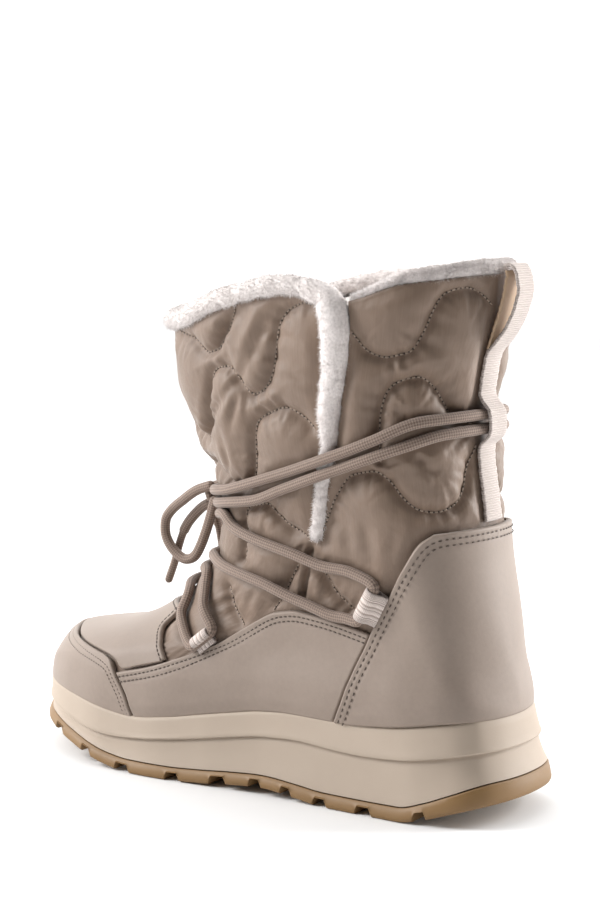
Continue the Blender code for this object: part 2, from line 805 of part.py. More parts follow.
def tube(path, normals, radius, sides, closed, lock=0.0):
    """Points and faces of a round sweep. lock makes every other ring and side stand out as tufts."""
    ahead = (np.roll(path, -1, 0) - np.roll(path, 1, 0)) if closed else np.gradient(path, axis=0)
    ahead = ahead / np.linalg.norm(ahead, axis=1)[:, None]
    up = normals - ahead * (normals * ahead).sum(1)[:, None]
    up /= np.linalg.norm(up, axis=1)[:, None]
    across = np.cross(ahead, up)
    angle = np.arange(sides) * 2 * math.pi / sides
    ring = np.arange(len(path))[:, None]
    tuft = 1 - lock * ((ring + np.arange(sides)[None]) % 2)
    reach = radius[:, None] * tuft
    points = path[:, None] + reach[..., None] * (np.cos(angle)[None, :, None] * up[:, None] + np.sin(angle)[None, :, None] * across[:, None])
    rings = len(path)
    faces = []
    for i in range(rings if closed else rings - 1):
        k = (i + 1) % rings
        for j in range(sides):
            n = (j + 1) % sides
            faces.append((i * sides + j, i * sides + n, k * sides + n, k * sides + j))
    if not closed:
        faces.append(tuple(range(sides)))
        faces.append(tuple((rings - 1) * sides + j for j in range(sides)))
    return points.reshape(-1, 3), faces


def rim_point(turn, side, above):
    """Point over the collar's edge, at the middle of the wall."""
    point = skin(1.0 + 0 * turn, turn, side, -WALL / 2 + 0 * turn)
    point[:, 2] += collar_rise(1.0, turn) + above
    return point


def build_fur_front(mat):
    """Fur of the front panel: up one slit, round its collar and down the other slit, with locks."""
    v = np.linspace(SLIT_FOOT + 0.022, 0.985, 19)
    turn = curve(SLITS["v"], SLITS["turn"], v)
    width = curve(SLITS["v"], SLITS["width"], v)
    radius = width / 2 - 0.9
    sink = np.interp(v, [0.60, 0.78, 0.88, 1.0], [-1.7, -1.7, -0.9, -0.9])
    slit = skin(v, turn, 1.0, sink)
    slit[:, 2] += collar_rise(v, turn)
    slit_n = upper_normal(v, turn, np.ones_like(v))
    edge = slit_turns(np.array(1.0))[0]
    round_turn = np.concatenate([[edge + 0.06, edge - 0.02], np.linspace(edge - 0.10, 0.0, 15)])
    above = np.concatenate([[6.0, 6.4], np.full(15, FUR_RADIUS - 0.2)])
    rim = rim_point(round_turn, 1.0, above)
    rim_n = upper_normal(1.0 + 0 * round_turn, round_turn, np.ones_like(round_turn))
    rim_r = np.concatenate([[6.2, 5.6], np.full(15, FUR_RADIUS)])
    path = np.concatenate([slit, rim])
    normal = np.concatenate([slit_n, rim_n])
    reach = np.concatenate([radius, rim_r])
    flip = np.array([-1.0, 1.0, 1.0])
    other = path[:-1][::-1] * flip
    other[:, 0] = mirror_x(path[:-1], v, turn, sink, round_turn, above)[::-1]
    points, faces = tube(np.concatenate([path, other]), np.concatenate([normal, normal[:-1][::-1] * flip]),
                         np.concatenate([reach, reach[:-1][::-1]]), 6, False, 0.16)
    return solid("fur_front", points, faces, mat)


def mirror_x(path, v, turn, sink, round_turn, above):
    """x of the same chart positions on the inner side."""
    slit = skin(v, turn, -1.0, sink)
    rim = rim_point(round_turn, -1.0, above)
    return np.concatenate([slit, rim])[:-1, 0]


def build_fur_rear(mat):
    """Fur of the rear panel's collar, with locks."""
    start = slit_turns(np.array(1.0))[1] + 0.04
    half = start + (math.pi - start) * np.linspace(0, 1, 14)
    above = np.full(14, FUR_RADIUS - 0.2)
    one = rim_point(half, 1.0, above)
    two = rim_point(half, -1.0, above)[:-1][::-1]
    normal = upper_normal(1.0 + 0 * half, half, np.ones_like(half))
    reach = FUR_RADIUS * np.concatenate([[0.6, 0.9], np.ones(12)])
    points, faces = tube(np.concatenate([one, two]), np.concatenate([normal, normal[:-1][::-1] * np.array([-1.0, 1.0, 1.0])]),
                         np.concatenate([reach, reach[:-1][::-1]]), 6, False, 0.16)
    return solid("fur_rear", points, faces, mat)


# Lace

# Two strands round the ankle
ANKLE_UPPER = ("turn", "v", "lift"), (
    (0.000, 0.697, 3.0),
    (0.740, 0.700, 3.0),
    (0.938, 0.700, 3.0),
    (1.441, 0.724, 3.0),
    (1.600, 0.734, 3.6),
    (1.834, 0.750, 4.9),
    (2.050, 0.764, 3.8),
    (2.216, 0.776, 3.0),
    (2.554, 0.799, 3.0),
    (3.000, 0.7995, 3.0),
    (3.1416, 0.7995, 3.0),
)
ANKLE_LOWER = ("turn", "v", "lift"), (
    (0.000, 0.671, 3.0),
    (0.811, 0.673, 3.0),
    (1.199, 0.676, 3.0),
    (1.500, 0.698, 3.4),
    (1.760, 0.718, 4.9),
    (2.004, 0.734, 3.6),
    (2.373, 0.757, 3.0),
    (2.706, 0.773, 3.0),
    (2.996, 0.7740, 3.0),
    (3.1416, 0.7740, 3.0),
)
# Instep strand: over the front, back to the upper loop, through it and forward again
INSTEP = ("turn", "v", "lift"), (
    (0.000, 0.643, 3.0),
    (0.450, 0.646, 3.0),
    (0.769, 0.650, 3.0),
    (0.969, 0.618, 3.0),
    (1.162, 0.594, 3.0),
    (1.489, 0.556, 3.0),
    (1.749, 0.520, 3.0),
    (1.940, 0.506, 3.4),
    (2.066, 0.462, 4.9),
    (2.061, 0.430, 4.9),
    (2.054, 0.398, 4.9),
    (1.920, 0.390, 3.4),
    (1.622, 0.437, 3.0),
    (1.332, 0.486, 3.0),
    (1.029, 0.515, 3.0),
    (0.763, 0.531, 3.0),
    (0.560, 0.537, 3.0),
    (0.300, 0.539, 3.0),
    (0.000, 0.539, 3.0),
)
# Vamp strand: over the front, down to the lower loop, through it and up again
THROAT = ("turn", "v", "lift"), (
    (0.000, 0.506, 3.0),
    (0.300, 0.506, 3.0),
    (0.480, 0.505, 3.0),
    (0.620, 0.500, 3.0),
    (0.730, 0.486, 3.0),
    (0.860, 0.452, 3.5),
    (1.030, 0.404, 6.0),
    (1.245, 0.342, 4.9),
    (1.200, 0.330, 4.9),
    (1.155, 0.320, 4.9),
    (0.985, 0.352, 3.6),
    (0.811, 0.392, 4.2),
    (0.690, 0.430, 4.0),
    (0.450, 0.460, 3.2),
    (0.000, 0.470, 3.2),
)


def smooth_line(points, count, closed):
    """Points spread evenly along a smooth line through the given ones."""
    if closed:
        points = np.concatenate([points, points[:1]])
    reach = np.concatenate([[0.0], np.cumsum(np.linalg.norm(np.diff(points, axis=0), axis=1))])
    want = np.linspace(0, reach[-1], count + 1 if closed else count)
    fine = np.stack([curve(reach, points[:, k], want) for k in range(3)], 1)
    return fine[:-1] if closed else fine


def chart_line(table, side, eye_row, loop_row, fine=14):
    """Points in space along a lace table on one side, with their normals.
    From eye_row on, two steps of the table run straight through the eye of a loop."""
    c = columns(table)
    row = np.arange(len(c["turn"]))
    at = np.linspace(0, len(row) - 1, (len(row) - 1) * fine + 1)
    turn, v, lift = (curve(row, c[k], at) for k in ("turn", "v", "lift"))
    points = skin(v, turn, side, lift)
    if eye_row is not None:
        first, last = eye_row * fine, (eye_row + 2) * fine
        start, end = loop_eye(loop_row, side)
        if np.linalg.norm(points[first] - start) > np.linalg.norm(points[first] - end):
            start, end = end, start
        part = np.clip((at - eye_row) / 2, 0, 1)[:, None]
        straight = start + (end - start) * part
        before = np.clip(at - eye_row + 1, 0, 1)
        after = np.clip(eye_row + 3 - at, 0, 1)
        share = np.minimum(before, after)
        share = (share * share * (3 - 2 * share))[:, None]
        shift = np.where((at < eye_row)[:, None], start - points[first], np.where((at > eye_row + 2)[:, None], end - points[last], straight - points))
        points = points + share * shift
    return points, upper_normal(v, turn, side + 0 * v)


def build_ring(name, table, count, mat, eye_row=None, loop_row=None):
    """Closed lace: the outer side's line, then the inner side's line back."""
    one, one_n = chart_line(table, 1.0, eye_row, loop_row)
    two, two_n = chart_line(table, -1.0, eye_row, loop_row)
    path = np.concatenate([one, two[1:-1][::-1]])
    normal = np.concatenate([one_n, two_n[1:-1][::-1]])
    reach = np.concatenate([[0.0], np.cumsum(np.linalg.norm(np.diff(path, axis=0), axis=1))])
    total = reach[-1] + np.linalg.norm(path[0] - path[-1])
    want = np.arange(count) * total / count
    reach = np.concatenate([reach, [total]])
    path = np.concatenate([path, path[:1]])
    normal = np.concatenate([normal, normal[:1]])
    path = np.stack([np.interp(want, reach, path[:, k]) for k in range(3)], 1)
    normal = np.stack([np.interp(want, reach, normal[:, k]) for k in range(3)], 1)
    points, faces = tube(path, normal, np.full(count, LACE_RADIUS), 5, True)
    return solid(name, points, faces, mat)


# Knot, bow and ends, in millimetres
KNOT = ((-6.2, -33.1, 127.4), (0.0, -33.4, 127.4), (6.0, -33.1, 127.4))
BOW_OUTER = (
    (9.2, -35.0, 131.2),
    (8.6, -40.4, 128.2),
    (6.4, -49.2, 122.9),
    (5.0, -56.9, 117.6),
    (5.0, -60.8, 112.2),
    (5.0, -61.1, 106.9),
    (5.0, -58.8, 101.4),
    (5.0, -54.3, 97.0),
    (5.0, -49.0, 94.4),
    (5.2, -44.0, 95.9),
    (5.6, -39.9, 101.8),
    (6.4, -36.9, 109.3),
    (7.8, -34.6, 116.8),
    (8.6, -34.9, 124.0),
)
BOW_INNER = (
    (-8.4, -35.0, 131.0),
    (-14.0, -38.0, 128.2),
    (-20.0, -38.8, 122.0),
    (-24.0, -37.0, 114.0),
    (-24.6, -35.0, 106.5),
    (-22.2, -35.0, 100.8),
    (-17.8, -36.2, 99.6),
    (-14.0, -37.2, 104.0),
    (-11.0, -36.4, 112.0),
    (-8.8, -35.4, 123.8),
)
END_OUTER = (
    (1.5, -36.8, 122.2),
    (0.6, -41.2, 120.3),
    (0.0, -45.0, 117.5),
    (0.0, -49.1, 113.6),
    (0.0, -53.0, 108.4),
    (0.0, -56.3, 100.9),
    (0.0, -59.1, 92.0),
    (0.0, -62.9, 82.8),
)
END_INNER = (
    (-3.6, -37.0, 121.8),
    (-10.0, -42.6, 118.4),
    (-13.6, -44.0, 112.0),
    (-15.6, -43.6, 104.0),
    (-16.6, -43.0, 96.0),
    (-17.0, -42.8, 87.0),
)


def cord(name, points, radius, count, mat):
    """Free cord as a filled curve."""
    line = smooth_line(np.array(points, float), count, False) * MM
    data = bpy.data.curves.new(name, "CURVE")
    data.dimensions = "3D"
    data.bevel_depth = radius * MM
    data.bevel_resolution = 2
    data.use_fill_caps = True
    spline = data.splines.new("POLY")
    spline.points.add(len(line) - 1)
    for target, p in zip(spline.points, line):
        target.co = (*p, 1.0)
    data.materials.append(mat)
    obj = bpy.data.objects.new(name, data)
    bpy.context.scene.collection.objects.link(obj)
    return obj


# Assembly

for old in list(bpy.data.objects):
    bpy.data.objects.remove(old, do_unlink=True)

GUM = paint("gum_rubber", (0.48, 0.33, 0.14), 0.6)
FOAM = paint("beige_foam", (0.58, 0.50, 0.41), 0.7)
FOOTBED = paint("footbed_felt", (0.78, 0.74, 0.70), 0.9)
CLOTH = paint("quilted_cloth", (0.33, 0.25, 0.18), 0.8)
LEATHER = paint("greige_leather", (0.42, 0.35, 0.29), 0.6)
WEB = paint("cream_webbing", (0.75, 0.66, 0.60), 0.85)
TAN = paint("tan_leather", (0.50, 0.33, 0.20), 0.6)
FUR = paint("pale_fur", (0.85, 0.80, 0.78), 1.0)
LACE = paint("taupe_lace", (0.28, 0.21, 0.16), 0.75)

build_outsole(GUM)
build_midsole(FOAM)
build_insole(FOOTBED)
build_upper(CLOTH)
build_cap(LEATHER)
build_vamp(LEATHER)
build_side("side_panel_outer", 1.0, LEATHER)
build_side("side_panel_inner", -1.0, LEATHER)
build_counter(LEATHER)
build_tape(WEB)
build_backing(TAN)
for side_name, side_sign in (("outer", 1.0), ("inner", -1.0)):
    build_loop("upper_lace_loop_" + side_name, 0, side_sign, WEB)
    build_loop("lower_lace_loop_" + side_name, 1, side_sign, WEB)
build_fur_front(FUR)
build_fur_rear(FUR)
build_ring("lace_ankle_upper", ANKLE_UPPER, 46, LACE)
build_ring("lace_ankle_lower", ANKLE_LOWER, 46, LACE)
build_ring("lace_instep", INSTEP, 84, LACE, 8, 0)
build_ring("lace_throat", THROAT, 76, LACE, 7, 1)
cord("lace_knot", KNOT, 3.4, 4, LACE)
cord("lace_bow_outer", BOW_OUTER, LACE_RADIUS, 22, LACE)
cord("lace_bow_inner", BOW_INNER, LACE_RADIUS, 18, LACE)
cord("lace_end_outer", END_OUTER, LACE_RADIUS, 9, LACE)
cord("lace_end_inner", END_INNER, LACE_RADIUS, 9, LACE)
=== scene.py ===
"""Looks of the quilted winter boot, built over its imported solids.

Frame as in the part: toe towards -Y, heel towards +Y, +X the outer side, floor at Z = 0.
Tables and charts are in millimetres; meshes are made in metres.
"""
import math

import bmesh
import bpy
import numpy as np
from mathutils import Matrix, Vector


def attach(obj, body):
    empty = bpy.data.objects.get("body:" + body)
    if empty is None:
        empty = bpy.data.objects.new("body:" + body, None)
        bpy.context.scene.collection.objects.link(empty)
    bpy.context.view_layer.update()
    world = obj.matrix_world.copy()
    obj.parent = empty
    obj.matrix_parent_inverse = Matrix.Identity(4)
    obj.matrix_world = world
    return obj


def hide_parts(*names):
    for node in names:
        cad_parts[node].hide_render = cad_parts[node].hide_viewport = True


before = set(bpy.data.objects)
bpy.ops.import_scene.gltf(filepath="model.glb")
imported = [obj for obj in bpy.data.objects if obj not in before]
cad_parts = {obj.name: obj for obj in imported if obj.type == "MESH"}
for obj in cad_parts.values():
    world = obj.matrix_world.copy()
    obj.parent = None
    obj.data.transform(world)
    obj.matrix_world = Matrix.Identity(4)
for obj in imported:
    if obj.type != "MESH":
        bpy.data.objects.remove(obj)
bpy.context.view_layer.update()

MM = 0.001

# Driving sizes
SOLE_LENGTH = 272.0
GAP = 0.35
RECESS_GAP = 0.7
WALL = 2.6
PANEL_LIFT = 0.85
PANEL_THICK = 1.3
COUNTER_THICK = 1.5
NOTCH_DEPTH = 3.6
NOTCH_SLOPE = 1.3
INSOLE_GAP = 1.0
LACE_RADIUS = 2.4
WEB_THICK = 1.3
TAPE_HALF = 6.8
FUR_RADIUS = 4.6

# Chart heights of the counter's and the cap's top edges, and the turn where vamp and side panel meet
COUNTER_TOP = 0.576
CAP_TOP = 0.208
VAMP_END = 1.225

# Sole outline seen from above: x of the outer and of the inner edge
OUTLINE = ("station", "outer", "inner"), (
    (0, 0.0, 0.0),
    (3, 19.0, -19.0),
    (10, 31.0, -31.0),
    (22, 38.0, -38.0),
    (45, 42.0, -41.0),
    (80, 42.0, -39.0),
    (115, 42.0, -38.5),
    (150, 45.0, -44.0),
    (180, 47.5, -50.0),
    (205, 46.5, -52.0),
    (230, 39.5, -50.0),
    (250, 28.0, -43.0),
    (264, 12.0, -31.0),
    (270, 0.5, -21.5),
    (272, -11.0, -11.0),
)

# Heights of the sole's side along it
SIDE = ("station", "floor", "outsole", "groove", "rim"), (
    (0, 11.0, 8.5, 31.5, 45.0),
    (7, 9.7, 9.0, 31.2, 45.0),
    (21, 6.0, 7.8, 29.6, 43.8),
    (33, 2.3, 6.8, 27.6, 41.8),
    (45, 0.0, 5.9, 26.0, 40.2),
    (66, 0.0, 5.7, 25.0, 38.6),
    (82, 0.0, 5.8, 25.7, 38.8),
    (98, 1.6, 5.6, 26.8, 39.0),
    (115, 3.2, 5.2, 26.0, 37.8),
    (132, 2.2, 5.4, 23.6, 35.0),
    (150, 0.7, 5.6, 20.6, 31.8),
    (166, 0.0, 5.6, 18.2, 28.8),
    (188, 0.0, 5.6, 15.8, 26.4),
    (200, 1.4, 5.3, 15.2, 27.2),
    (212, 3.8, 5.2, 15.9, 28.6),
    (229, 7.6, 5.2, 18.4, 30.6),
    (243, 10.4, 5.2, 21.0, 31.8),
    (257, 12.2, 5.2, 22.6, 32.6),
    (272, 13.4, 5.2, 23.6, 33.2),
)

# How far each level of the side lies inside the outline
FLARE = ("station", "groove", "band", "rim"), (
    (0, 6.2, 4.8, 9.0),
    (10, 5.8, 4.4, 8.4),
    (30, 4.6, 3.2, 6.0),
    (60, 4.0, 2.6, 4.6),
    (190, 3.6, 2.2, 4.2),
    (245, 2.6, 1.2, 2.9),
    (272, 2.0, 0.6, 2.2),
)

# Notches between the lugs, from heel to toe
NOTCHES = ("start", "end"), (
    (31.0, 37.5),
    (57.5, 66.0),
    (80.5, 88.0),
    (99.0, 105.5),
    (115.5, 122.5),
    (134.0, 143.0),
    (158.5, 166.5),
    (186.5, 195.5),
    (211.0, 218.5),
    (234.5, 242.5),
)

# Sections of the upper. Each is a closed loop in a tilted plane from a front point to a back point.
# share: 0 follows the sole outline scaled by fit, 1 is an egg of the half width given.
# nose and tail: part of the length that is rounded off. sag: how much of the rim's dip it keeps.
SECTIONS = ("v", "front_y", "front_z", "back_y", "back_z", "fit", "share", "half", "nose", "tail", "sag"), (
    (0.00, -131.8, 27.0, 124.6, 39.0, 0.860, 0.00, 40.0, 0.02, 0.02, 1.00),
    (0.06, -131.8, 33.2, 124.9, 45.0, 0.865, 0.00, 40.0, 0.02, 0.02, 1.00),
    (0.11, -131.0, 39.5, 124.9, 50.5, 0.885, 0.00, 40.0, 0.04, 0.03, 0.95),
    (0.16, -127.6, 47.0, 124.4, 56.5, 0.885, 0.04, 38.0, 0.10, 0.05, 0.80),
    (0.21, -118.5, 54.0, 123.2, 63.0, 0.860, 0.12, 36.5, 0.20, 0.07, 0.62),
    (0.26, -103.0, 57.6, 121.8, 70.5, 0.830, 0.30, 35.5, 0.30, 0.09, 0.45),
    (0.31, -85.0, 60.8, 120.4, 78.0, 0.810, 0.55, 35.0, 0.38, 0.11, 0.28),
    (0.36, -67.5, 66.2, 118.8, 86.5, 0.800, 0.80, 34.8, 0.43, 0.13, 0.12),
    (0.42, -52.0, 75.0, 117.0, 97.0, 0.800, 1.00, 34.8, 0.46, 0.15, 0.00),
    (0.49, -40.5, 88.0, 115.2, 109.0, 0.800, 1.00, 35.4, 0.48, 0.17, 0.00),
    (0.56, -32.5, 103.0, 113.6, 122.0, 0.800, 1.00, 36.8, 0.50, 0.20, 0.00),
    (0.64, -29.5, 119.0, 111.6, 137.0, 0.800, 1.00, 39.0, 0.50, 0.23, 0.00),
    (0.72, -31.5, 136.0, 109.2, 154.0, 0.800, 1.00, 41.2, 0.50, 0.26, 0.00),
    (0.80, -37.5, 154.0, 108.2, 173.0, 0.800, 1.00, 43.4, 0.50, 0.28, 0.00),
    (0.87, -43.5, 172.0, 110.8, 193.0, 0.800, 1.00, 45.2, 0.50, 0.30, 0.00),
    (0.94, -48.5, 190.0, 115.0, 213.0, 0.800, 1.00, 46.8, 0.50, 0.32, 0.00),
    (1.00, -51.5, 207.0, 118.0, 232.0, 0.800, 1.00, 48.0, 0.50, 0.34, 0.00),
)


# Hollow at the front of the ankle: how far the front lies back
HOLLOW = ("v", "back"), (
    (0.40, 0.0),
    (0.47, 2.5),
    (0.52, 5.5),
    (0.58, 7.0),
    (0.64, 6.5),
    (0.70, 5.0),
    (0.76, 2.5),
    (0.82, 0.0),
)


def columns(table):
    """A table's rows as one array for each named column."""
    names, rows = table
    return dict(zip(names, np.array(rows, float).T))


def curve(xs, ys, x):
    """Monotone cubic through the points of a table, read at x."""
    xs = np.asarray(xs, float)
    ys = np.asarray(ys, float)
    x = np.clip(np.asarray(x, float), xs[0], xs[-1])
    step = np.diff(xs)
    slope = np.diff(ys) / step
    tangent = np.zeros_like(ys)
    before = 2 * step[1:] + step[:-1]
    after = step[1:] + 2 * step[:-1]
    same = slope[:-1] * slope[1:] > 0
    left = np.where(same, slope[:-1], 1.0)
    right = np.where(same, slope[1:], 1.0)
    tangent[1:-1] = np.where(same, (before + after) / (before / left + after / right), 0.0)
    tangent[0] = slope[0]
    tangent[-1] = slope[-1]
    i = np.clip(np.searchsorted(xs, x, side="right") - 1, 0, len(step) - 1)
    h = step[i]
    t = (x - xs[i]) / h
    return (
        ys[i] * (1 + 2 * t) * (1 - t) ** 2
        + tangent[i] * h * t * (1 - t) ** 2
        + ys[i + 1] * t * t * (3 - 2 * t)
        + tangent[i + 1] * h * t * t * (t - 1)
    )


OUT = columns(OUTLINE)
SIDES = columns(SIDE)
FLARES = columns(FLARE)
NOTCH = columns(NOTCHES)
SECT = columns(SECTIONS)
HOLLOWS = columns(HOLLOW)


def turn_of(station):
    """Angle that runs evenly round a rounded end: 0 at the heel, pi at the toe."""
    return np.arccos(np.clip(1 - 2 * np.asarray(station, float) / SOLE_LENGTH, -1, 1))


def outline_x(turn):
    """Outer and inner edge of the sole at this turn."""
    at = turn_of(OUT["station"])
    return curve(at, OUT["outer"], turn), curve(at, OUT["inner"], turn)


def side_height(name, station):
    """Height of one level of the sole's side at this station."""
    return curve(SIDES["station"], SIDES[name], station)


def flare(name, station):
    """Inset of one level of the sole's side at this station."""
    return curve(FLARES["station"], FLARES[name], station)


def sole_ring(stations, inset, height):
    """Closed ring round the sole: outer side heel to toe, then inner side toe to heel, moved inwards."""
    turn = turn_of(stations)
    outer, inner = outline_x(turn)
    y = SOLE_LENGTH / 2 - stations
    line = np.concatenate([np.stack([outer, y], 1), np.stack([inner, y], 1)[::-1]])
    along = np.roll(line, -1, 0) - np.roll(line, 1, 0)
    normal = np.stack([along[:, 1], -along[:, 0]], 1)
    normal /= np.linalg.norm(normal, axis=1)[:, None]
    both = np.concatenate([inset, inset[::-1]])[:, None]
    line = line + normal * both
    return np.column_stack([line, np.concatenate([height, height[::-1]])])


def cap(t):
    """Quarter of a round end: 0 at its tip, 1 where it meets the straight part."""
    t = np.clip(t, 0, 1)
    return np.sqrt(t * (2 - t))


def section_value(name, v):
    """One size of the upper's section at this height."""
    return curve(SECT["v"], SECT[name], v)


def upper_point(v, turn, side):
    """Outer face of the upper. v: 0 feather edge to 1 collar. turn: 0 front to pi back. side: +1 or -1.
    The rounding of toe and heel fades in just above the rim."""
    v = np.asarray(v, float)
    part = (1 - np.cos(turn)) / 2
    front_y = section_value("front_y", v)
    back_y = section_value("back_y", v)
    front_z = section_value("front_z", v)
    back_z = section_value("back_z", v)
    share = section_value("share", v)
    outer, inner = outline_x(math.pi - turn)
    fit = section_value("fit", v)
    middle = (1 - share) * fit * (outer + inner) / 2
    half = (1 - share) * fit * (outer - inner) / 2 + share * section_value("half", v)
    round_off = cap(part / section_value("nose", v)) * cap((1 - part) / section_value("tail", v))
    above = np.clip((v - 0.06) / 0.10, 0, 1)
    above = above * above * (3 - 2 * above)
    half = half * (share * round_off + (1 - share) * round_off ** (0.5 * above))
    near = np.clip((1.05 - turn) / 0.60, 0, 1)
    hollow = near * near * (3 - 2 * near) * curve(HOLLOWS["v"], HOLLOWS["back"], v)
    y = front_y + (back_y - front_y) * part + hollow
    station = SOLE_LENGTH * (1 - part)
    rim = side_height("rim", station)
    straight = SIDES["rim"][-1] + (SIDES["rim"][0] - SIDES["rim"][-1]) * part
    z = front_z + (back_z - front_z) * part + section_value("sag", v) * (rim - straight)
    return np.stack([middle + side * half, y, z + 0 * half], -1)


def upper_normal(v, turn, side):
    """Unit normal of the outer face, pointing out."""
    e = 2e-3
    vv = np.clip(v, 2 * e, 1 - 2 * e)
    tt = np.clip(turn, 2 * e, math.pi - 2 * e)
    along = upper_point(vv, tt + e, side) - upper_point(vv, tt - e, side)
    up = upper_point(vv + e, tt, side) - upper_point(vv - e, tt, side)
    n = np.cross(along, up) * np.asarray(side, float)[..., None]
    n = n / np.linalg.norm(n, axis=-1, keepdims=True)
    flat = (turn < 2 * e) | (turn > math.pi - 2 * e)
    n[..., 0] = np.where(flat, 0.0, n[..., 0])
    return n / np.linalg.norm(n, axis=-1, keepdims=True)


def skin(v, turn, side, lift):
    """Outer face of the upper moved out by lift."""
    v, turn, side = np.broadcast_arrays(*(np.asarray(value, float) for value in (v, turn, side)))
    return upper_point(v, turn, side) + upper_normal(v, turn, side) * np.asarray(lift, float)[..., None]


def notch_share(stations):
    """1 inside a notch and 0 outside, with the notch's sloping ends."""
    share = np.zeros_like(stations)
    for start, end in zip(NOTCH["start"], NOTCH["end"]):
        inside = np.clip(np.minimum(stations - start, end - stations) / NOTCH_SLOPE, 0, 1)
        share = np.maximum(share, inside)
    return share


def upper_ring(v, turns, lift):
    """Ring of the upper in the same order as a sole ring."""
    outer = skin(v, turns, 1.0, lift + 0 * turns)
    inner = skin(v, turns, -1.0, lift + 0 * turns)
    return np.concatenate([outer, inner[::-1]])


# Slit on each side: turn of its middle and its width along the height
SLIT = ("v", "turn", "width"), (
    (0.58, 1.650, 6.2),
    (0.66, 1.712, 6.0),
    (0.72, 1.775, 6.2),
    (0.77, 1.855, 7.6),
    (0.83, 1.895, 10.6),
    (0.91, 1.940, 12.0),
    (0.96, 1.938, 14.0),
    (1.00, 1.915, 15.5),
)
SLITS = columns(SLIT)
SLIT_FOOT = 0.58


def slit_turns(v):
    """Turn of the front and of the rear edge of the slit at this height."""
    middle = curve(SLITS["v"], SLITS["turn"], v)
    width = curve(SLITS["v"], SLITS["width"], v)
    e = 1e-3
    step = upper_point(v, middle + e, 1.0) - upper_point(v, middle - e, 1.0)
    per_turn = np.linalg.norm(step, axis=-1) / (2 * e)
    return middle - width / 2 / per_turn, middle + width / 2 / per_turn


# How the collar's edge rises over its plane, along the turn
COLLAR = ("turn", "rise"), (
    (0.00, 0.0),
    (0.70, -4.0),
    (1.20, 2.0),
    (1.55, 4.0),
    (1.80, 0.0),
    (2.00, -4.0),
    (2.35, 0.0),
    (3.14160, 0.0),
)
RISE = columns(COLLAR)


def collar_rise(v, turn):
    """Height added near the collar."""
    near = np.clip((np.asarray(v, float) - 0.80) / 0.20, 0, 1)
    return near * near * (3 - 2 * near) * curve(RISE["turn"], RISE["rise"], turn)


# Front edge of the heel counter, from the rim up, and the height of its top edge
COUNTER_EDGE = ("v", "turn"), (
    (0.066, 2.062),
    (0.150, 2.100),
    (0.217, 2.120),
    (0.334, 2.128),
    (0.451, 2.234),
    (0.516, 2.343),
    (0.558, 2.446),
    (0.576, 2.560),
)
# Rear edge of the toe cap, from the rim up
CAP_EDGE = ("v", "turn"), (
    (0.066, 1.188),
    (0.119, 1.156),
    (0.153, 1.108),
    (0.186, 1.036),
    (0.200, 0.995),
    (0.208, 0.930),
)
# Top edge of the side panel
SIDE_EDGE = ("turn", "v"), (
    (1.000, 0.160),
    (1.078, 0.180),
    (1.241, 0.226),
    (1.320, 0.281),
    (1.380, 0.360),
    (1.500, 0.405),
    (1.598, 0.408),
    (1.713, 0.398),
    (1.907, 0.374),
    (2.140, 0.341),
)
# Vamp between the cap, the side panels and the throat
VAMP_EDGE = ("turn", "low", "high"), (
    (0.000, 0.2115, 0.425),
    (0.300, 0.2115, 0.420),
    (0.640, 0.2115, 0.406),
    (0.793, 0.2115, 0.348),
    (0.930, 0.2115, 0.318),
    (1.005, 0.2055, 0.302),
    (1.085, 0.1875, 0.281),
    (1.150, 0.2055, 0.263),
    (1.225, 0.2270, 0.238),
)
COUNTERS = columns(COUNTER_EDGE)
CAPS = columns(CAP_EDGE)
SIDE_TOP = columns(SIDE_EDGE)
VAMPS = columns(VAMP_EDGE)


# Tape up the back: how far its inner face stands off the upper
TAPE = ("v", "lift"), (
    (0.586, 0.6),
    (0.640, 0.6),
    (0.700, 0.6),
    (0.738, 0.7),
    (0.748, 2.2),
    (0.756, 4.8),
    (0.765, 6.0),
    (0.784, 6.2),
    (0.803, 6.0),
    (0.812, 4.8),
    (0.820, 2.2),
    (0.830, 0.7),
    (0.860, 0.6),
    (0.885, 0.7),
    (0.905, 2.6),
    (0.930, 6.2),
    (0.960, 9.0),
    (0.985, 10.0),
)
TAPES = columns(TAPE)
# Top of the pull loop, in the middle plane
LOOP_TOP = ("y", "z"), (
    (126.6, 231.5),
    (124.8, 235.2),
    (122.6, 236.6),
)
LOOP_TOPS = columns(LOOP_TOP)
# Tan backing of the pull loop
BACKING = ("v", "lift"), (
    (0.897, 0.6),
    (0.920, 1.2),
    (0.945, 2.6),
    (0.970, 4.0),
    (1.000, 4.6),
)
BACKINGS = columns(BACKING)


def middle_line(v, lift):
    """Line up the back in the middle plane, lift off the upper."""
    return skin(v, math.pi + 0 * v, 1.0, lift) * np.array([0.0, 1.0, 1.0])


# Lace loops: chart positions of the sewn end and of the free end, and the width of the webbing
LOOPS = ("sewn_v", "sewn_turn", "free_v", "free_turn", "width"), (
    (0.4040, 2.166, 0.436, 2.043, 15.0),
    (0.2980, 1.318, 0.3360, 1.186, 10.0),
)
LOOP = columns(LOOPS)
EYE = LACE_RADIUS + 0.15


def loop_frame(row, side):
    """Sewn end, directions ahead, out and across, and length of a lace loop."""
    sewn = skin(LOOP["sewn_v"][row], LOOP["sewn_turn"][row], side, 0.9)
    free = skin(LOOP["free_v"][row], LOOP["free_turn"][row], side, 0.9)
    out = upper_normal(LOOP["free_v"][row][None], LOOP["free_turn"][row][None], np.array([side]))[0]
    ahead = free - sewn
    ahead = ahead - out * (ahead @ out)
    length = np.linalg.norm(ahead)
    ahead = ahead / length
    return sewn, ahead, out, np.cross(out, ahead), length


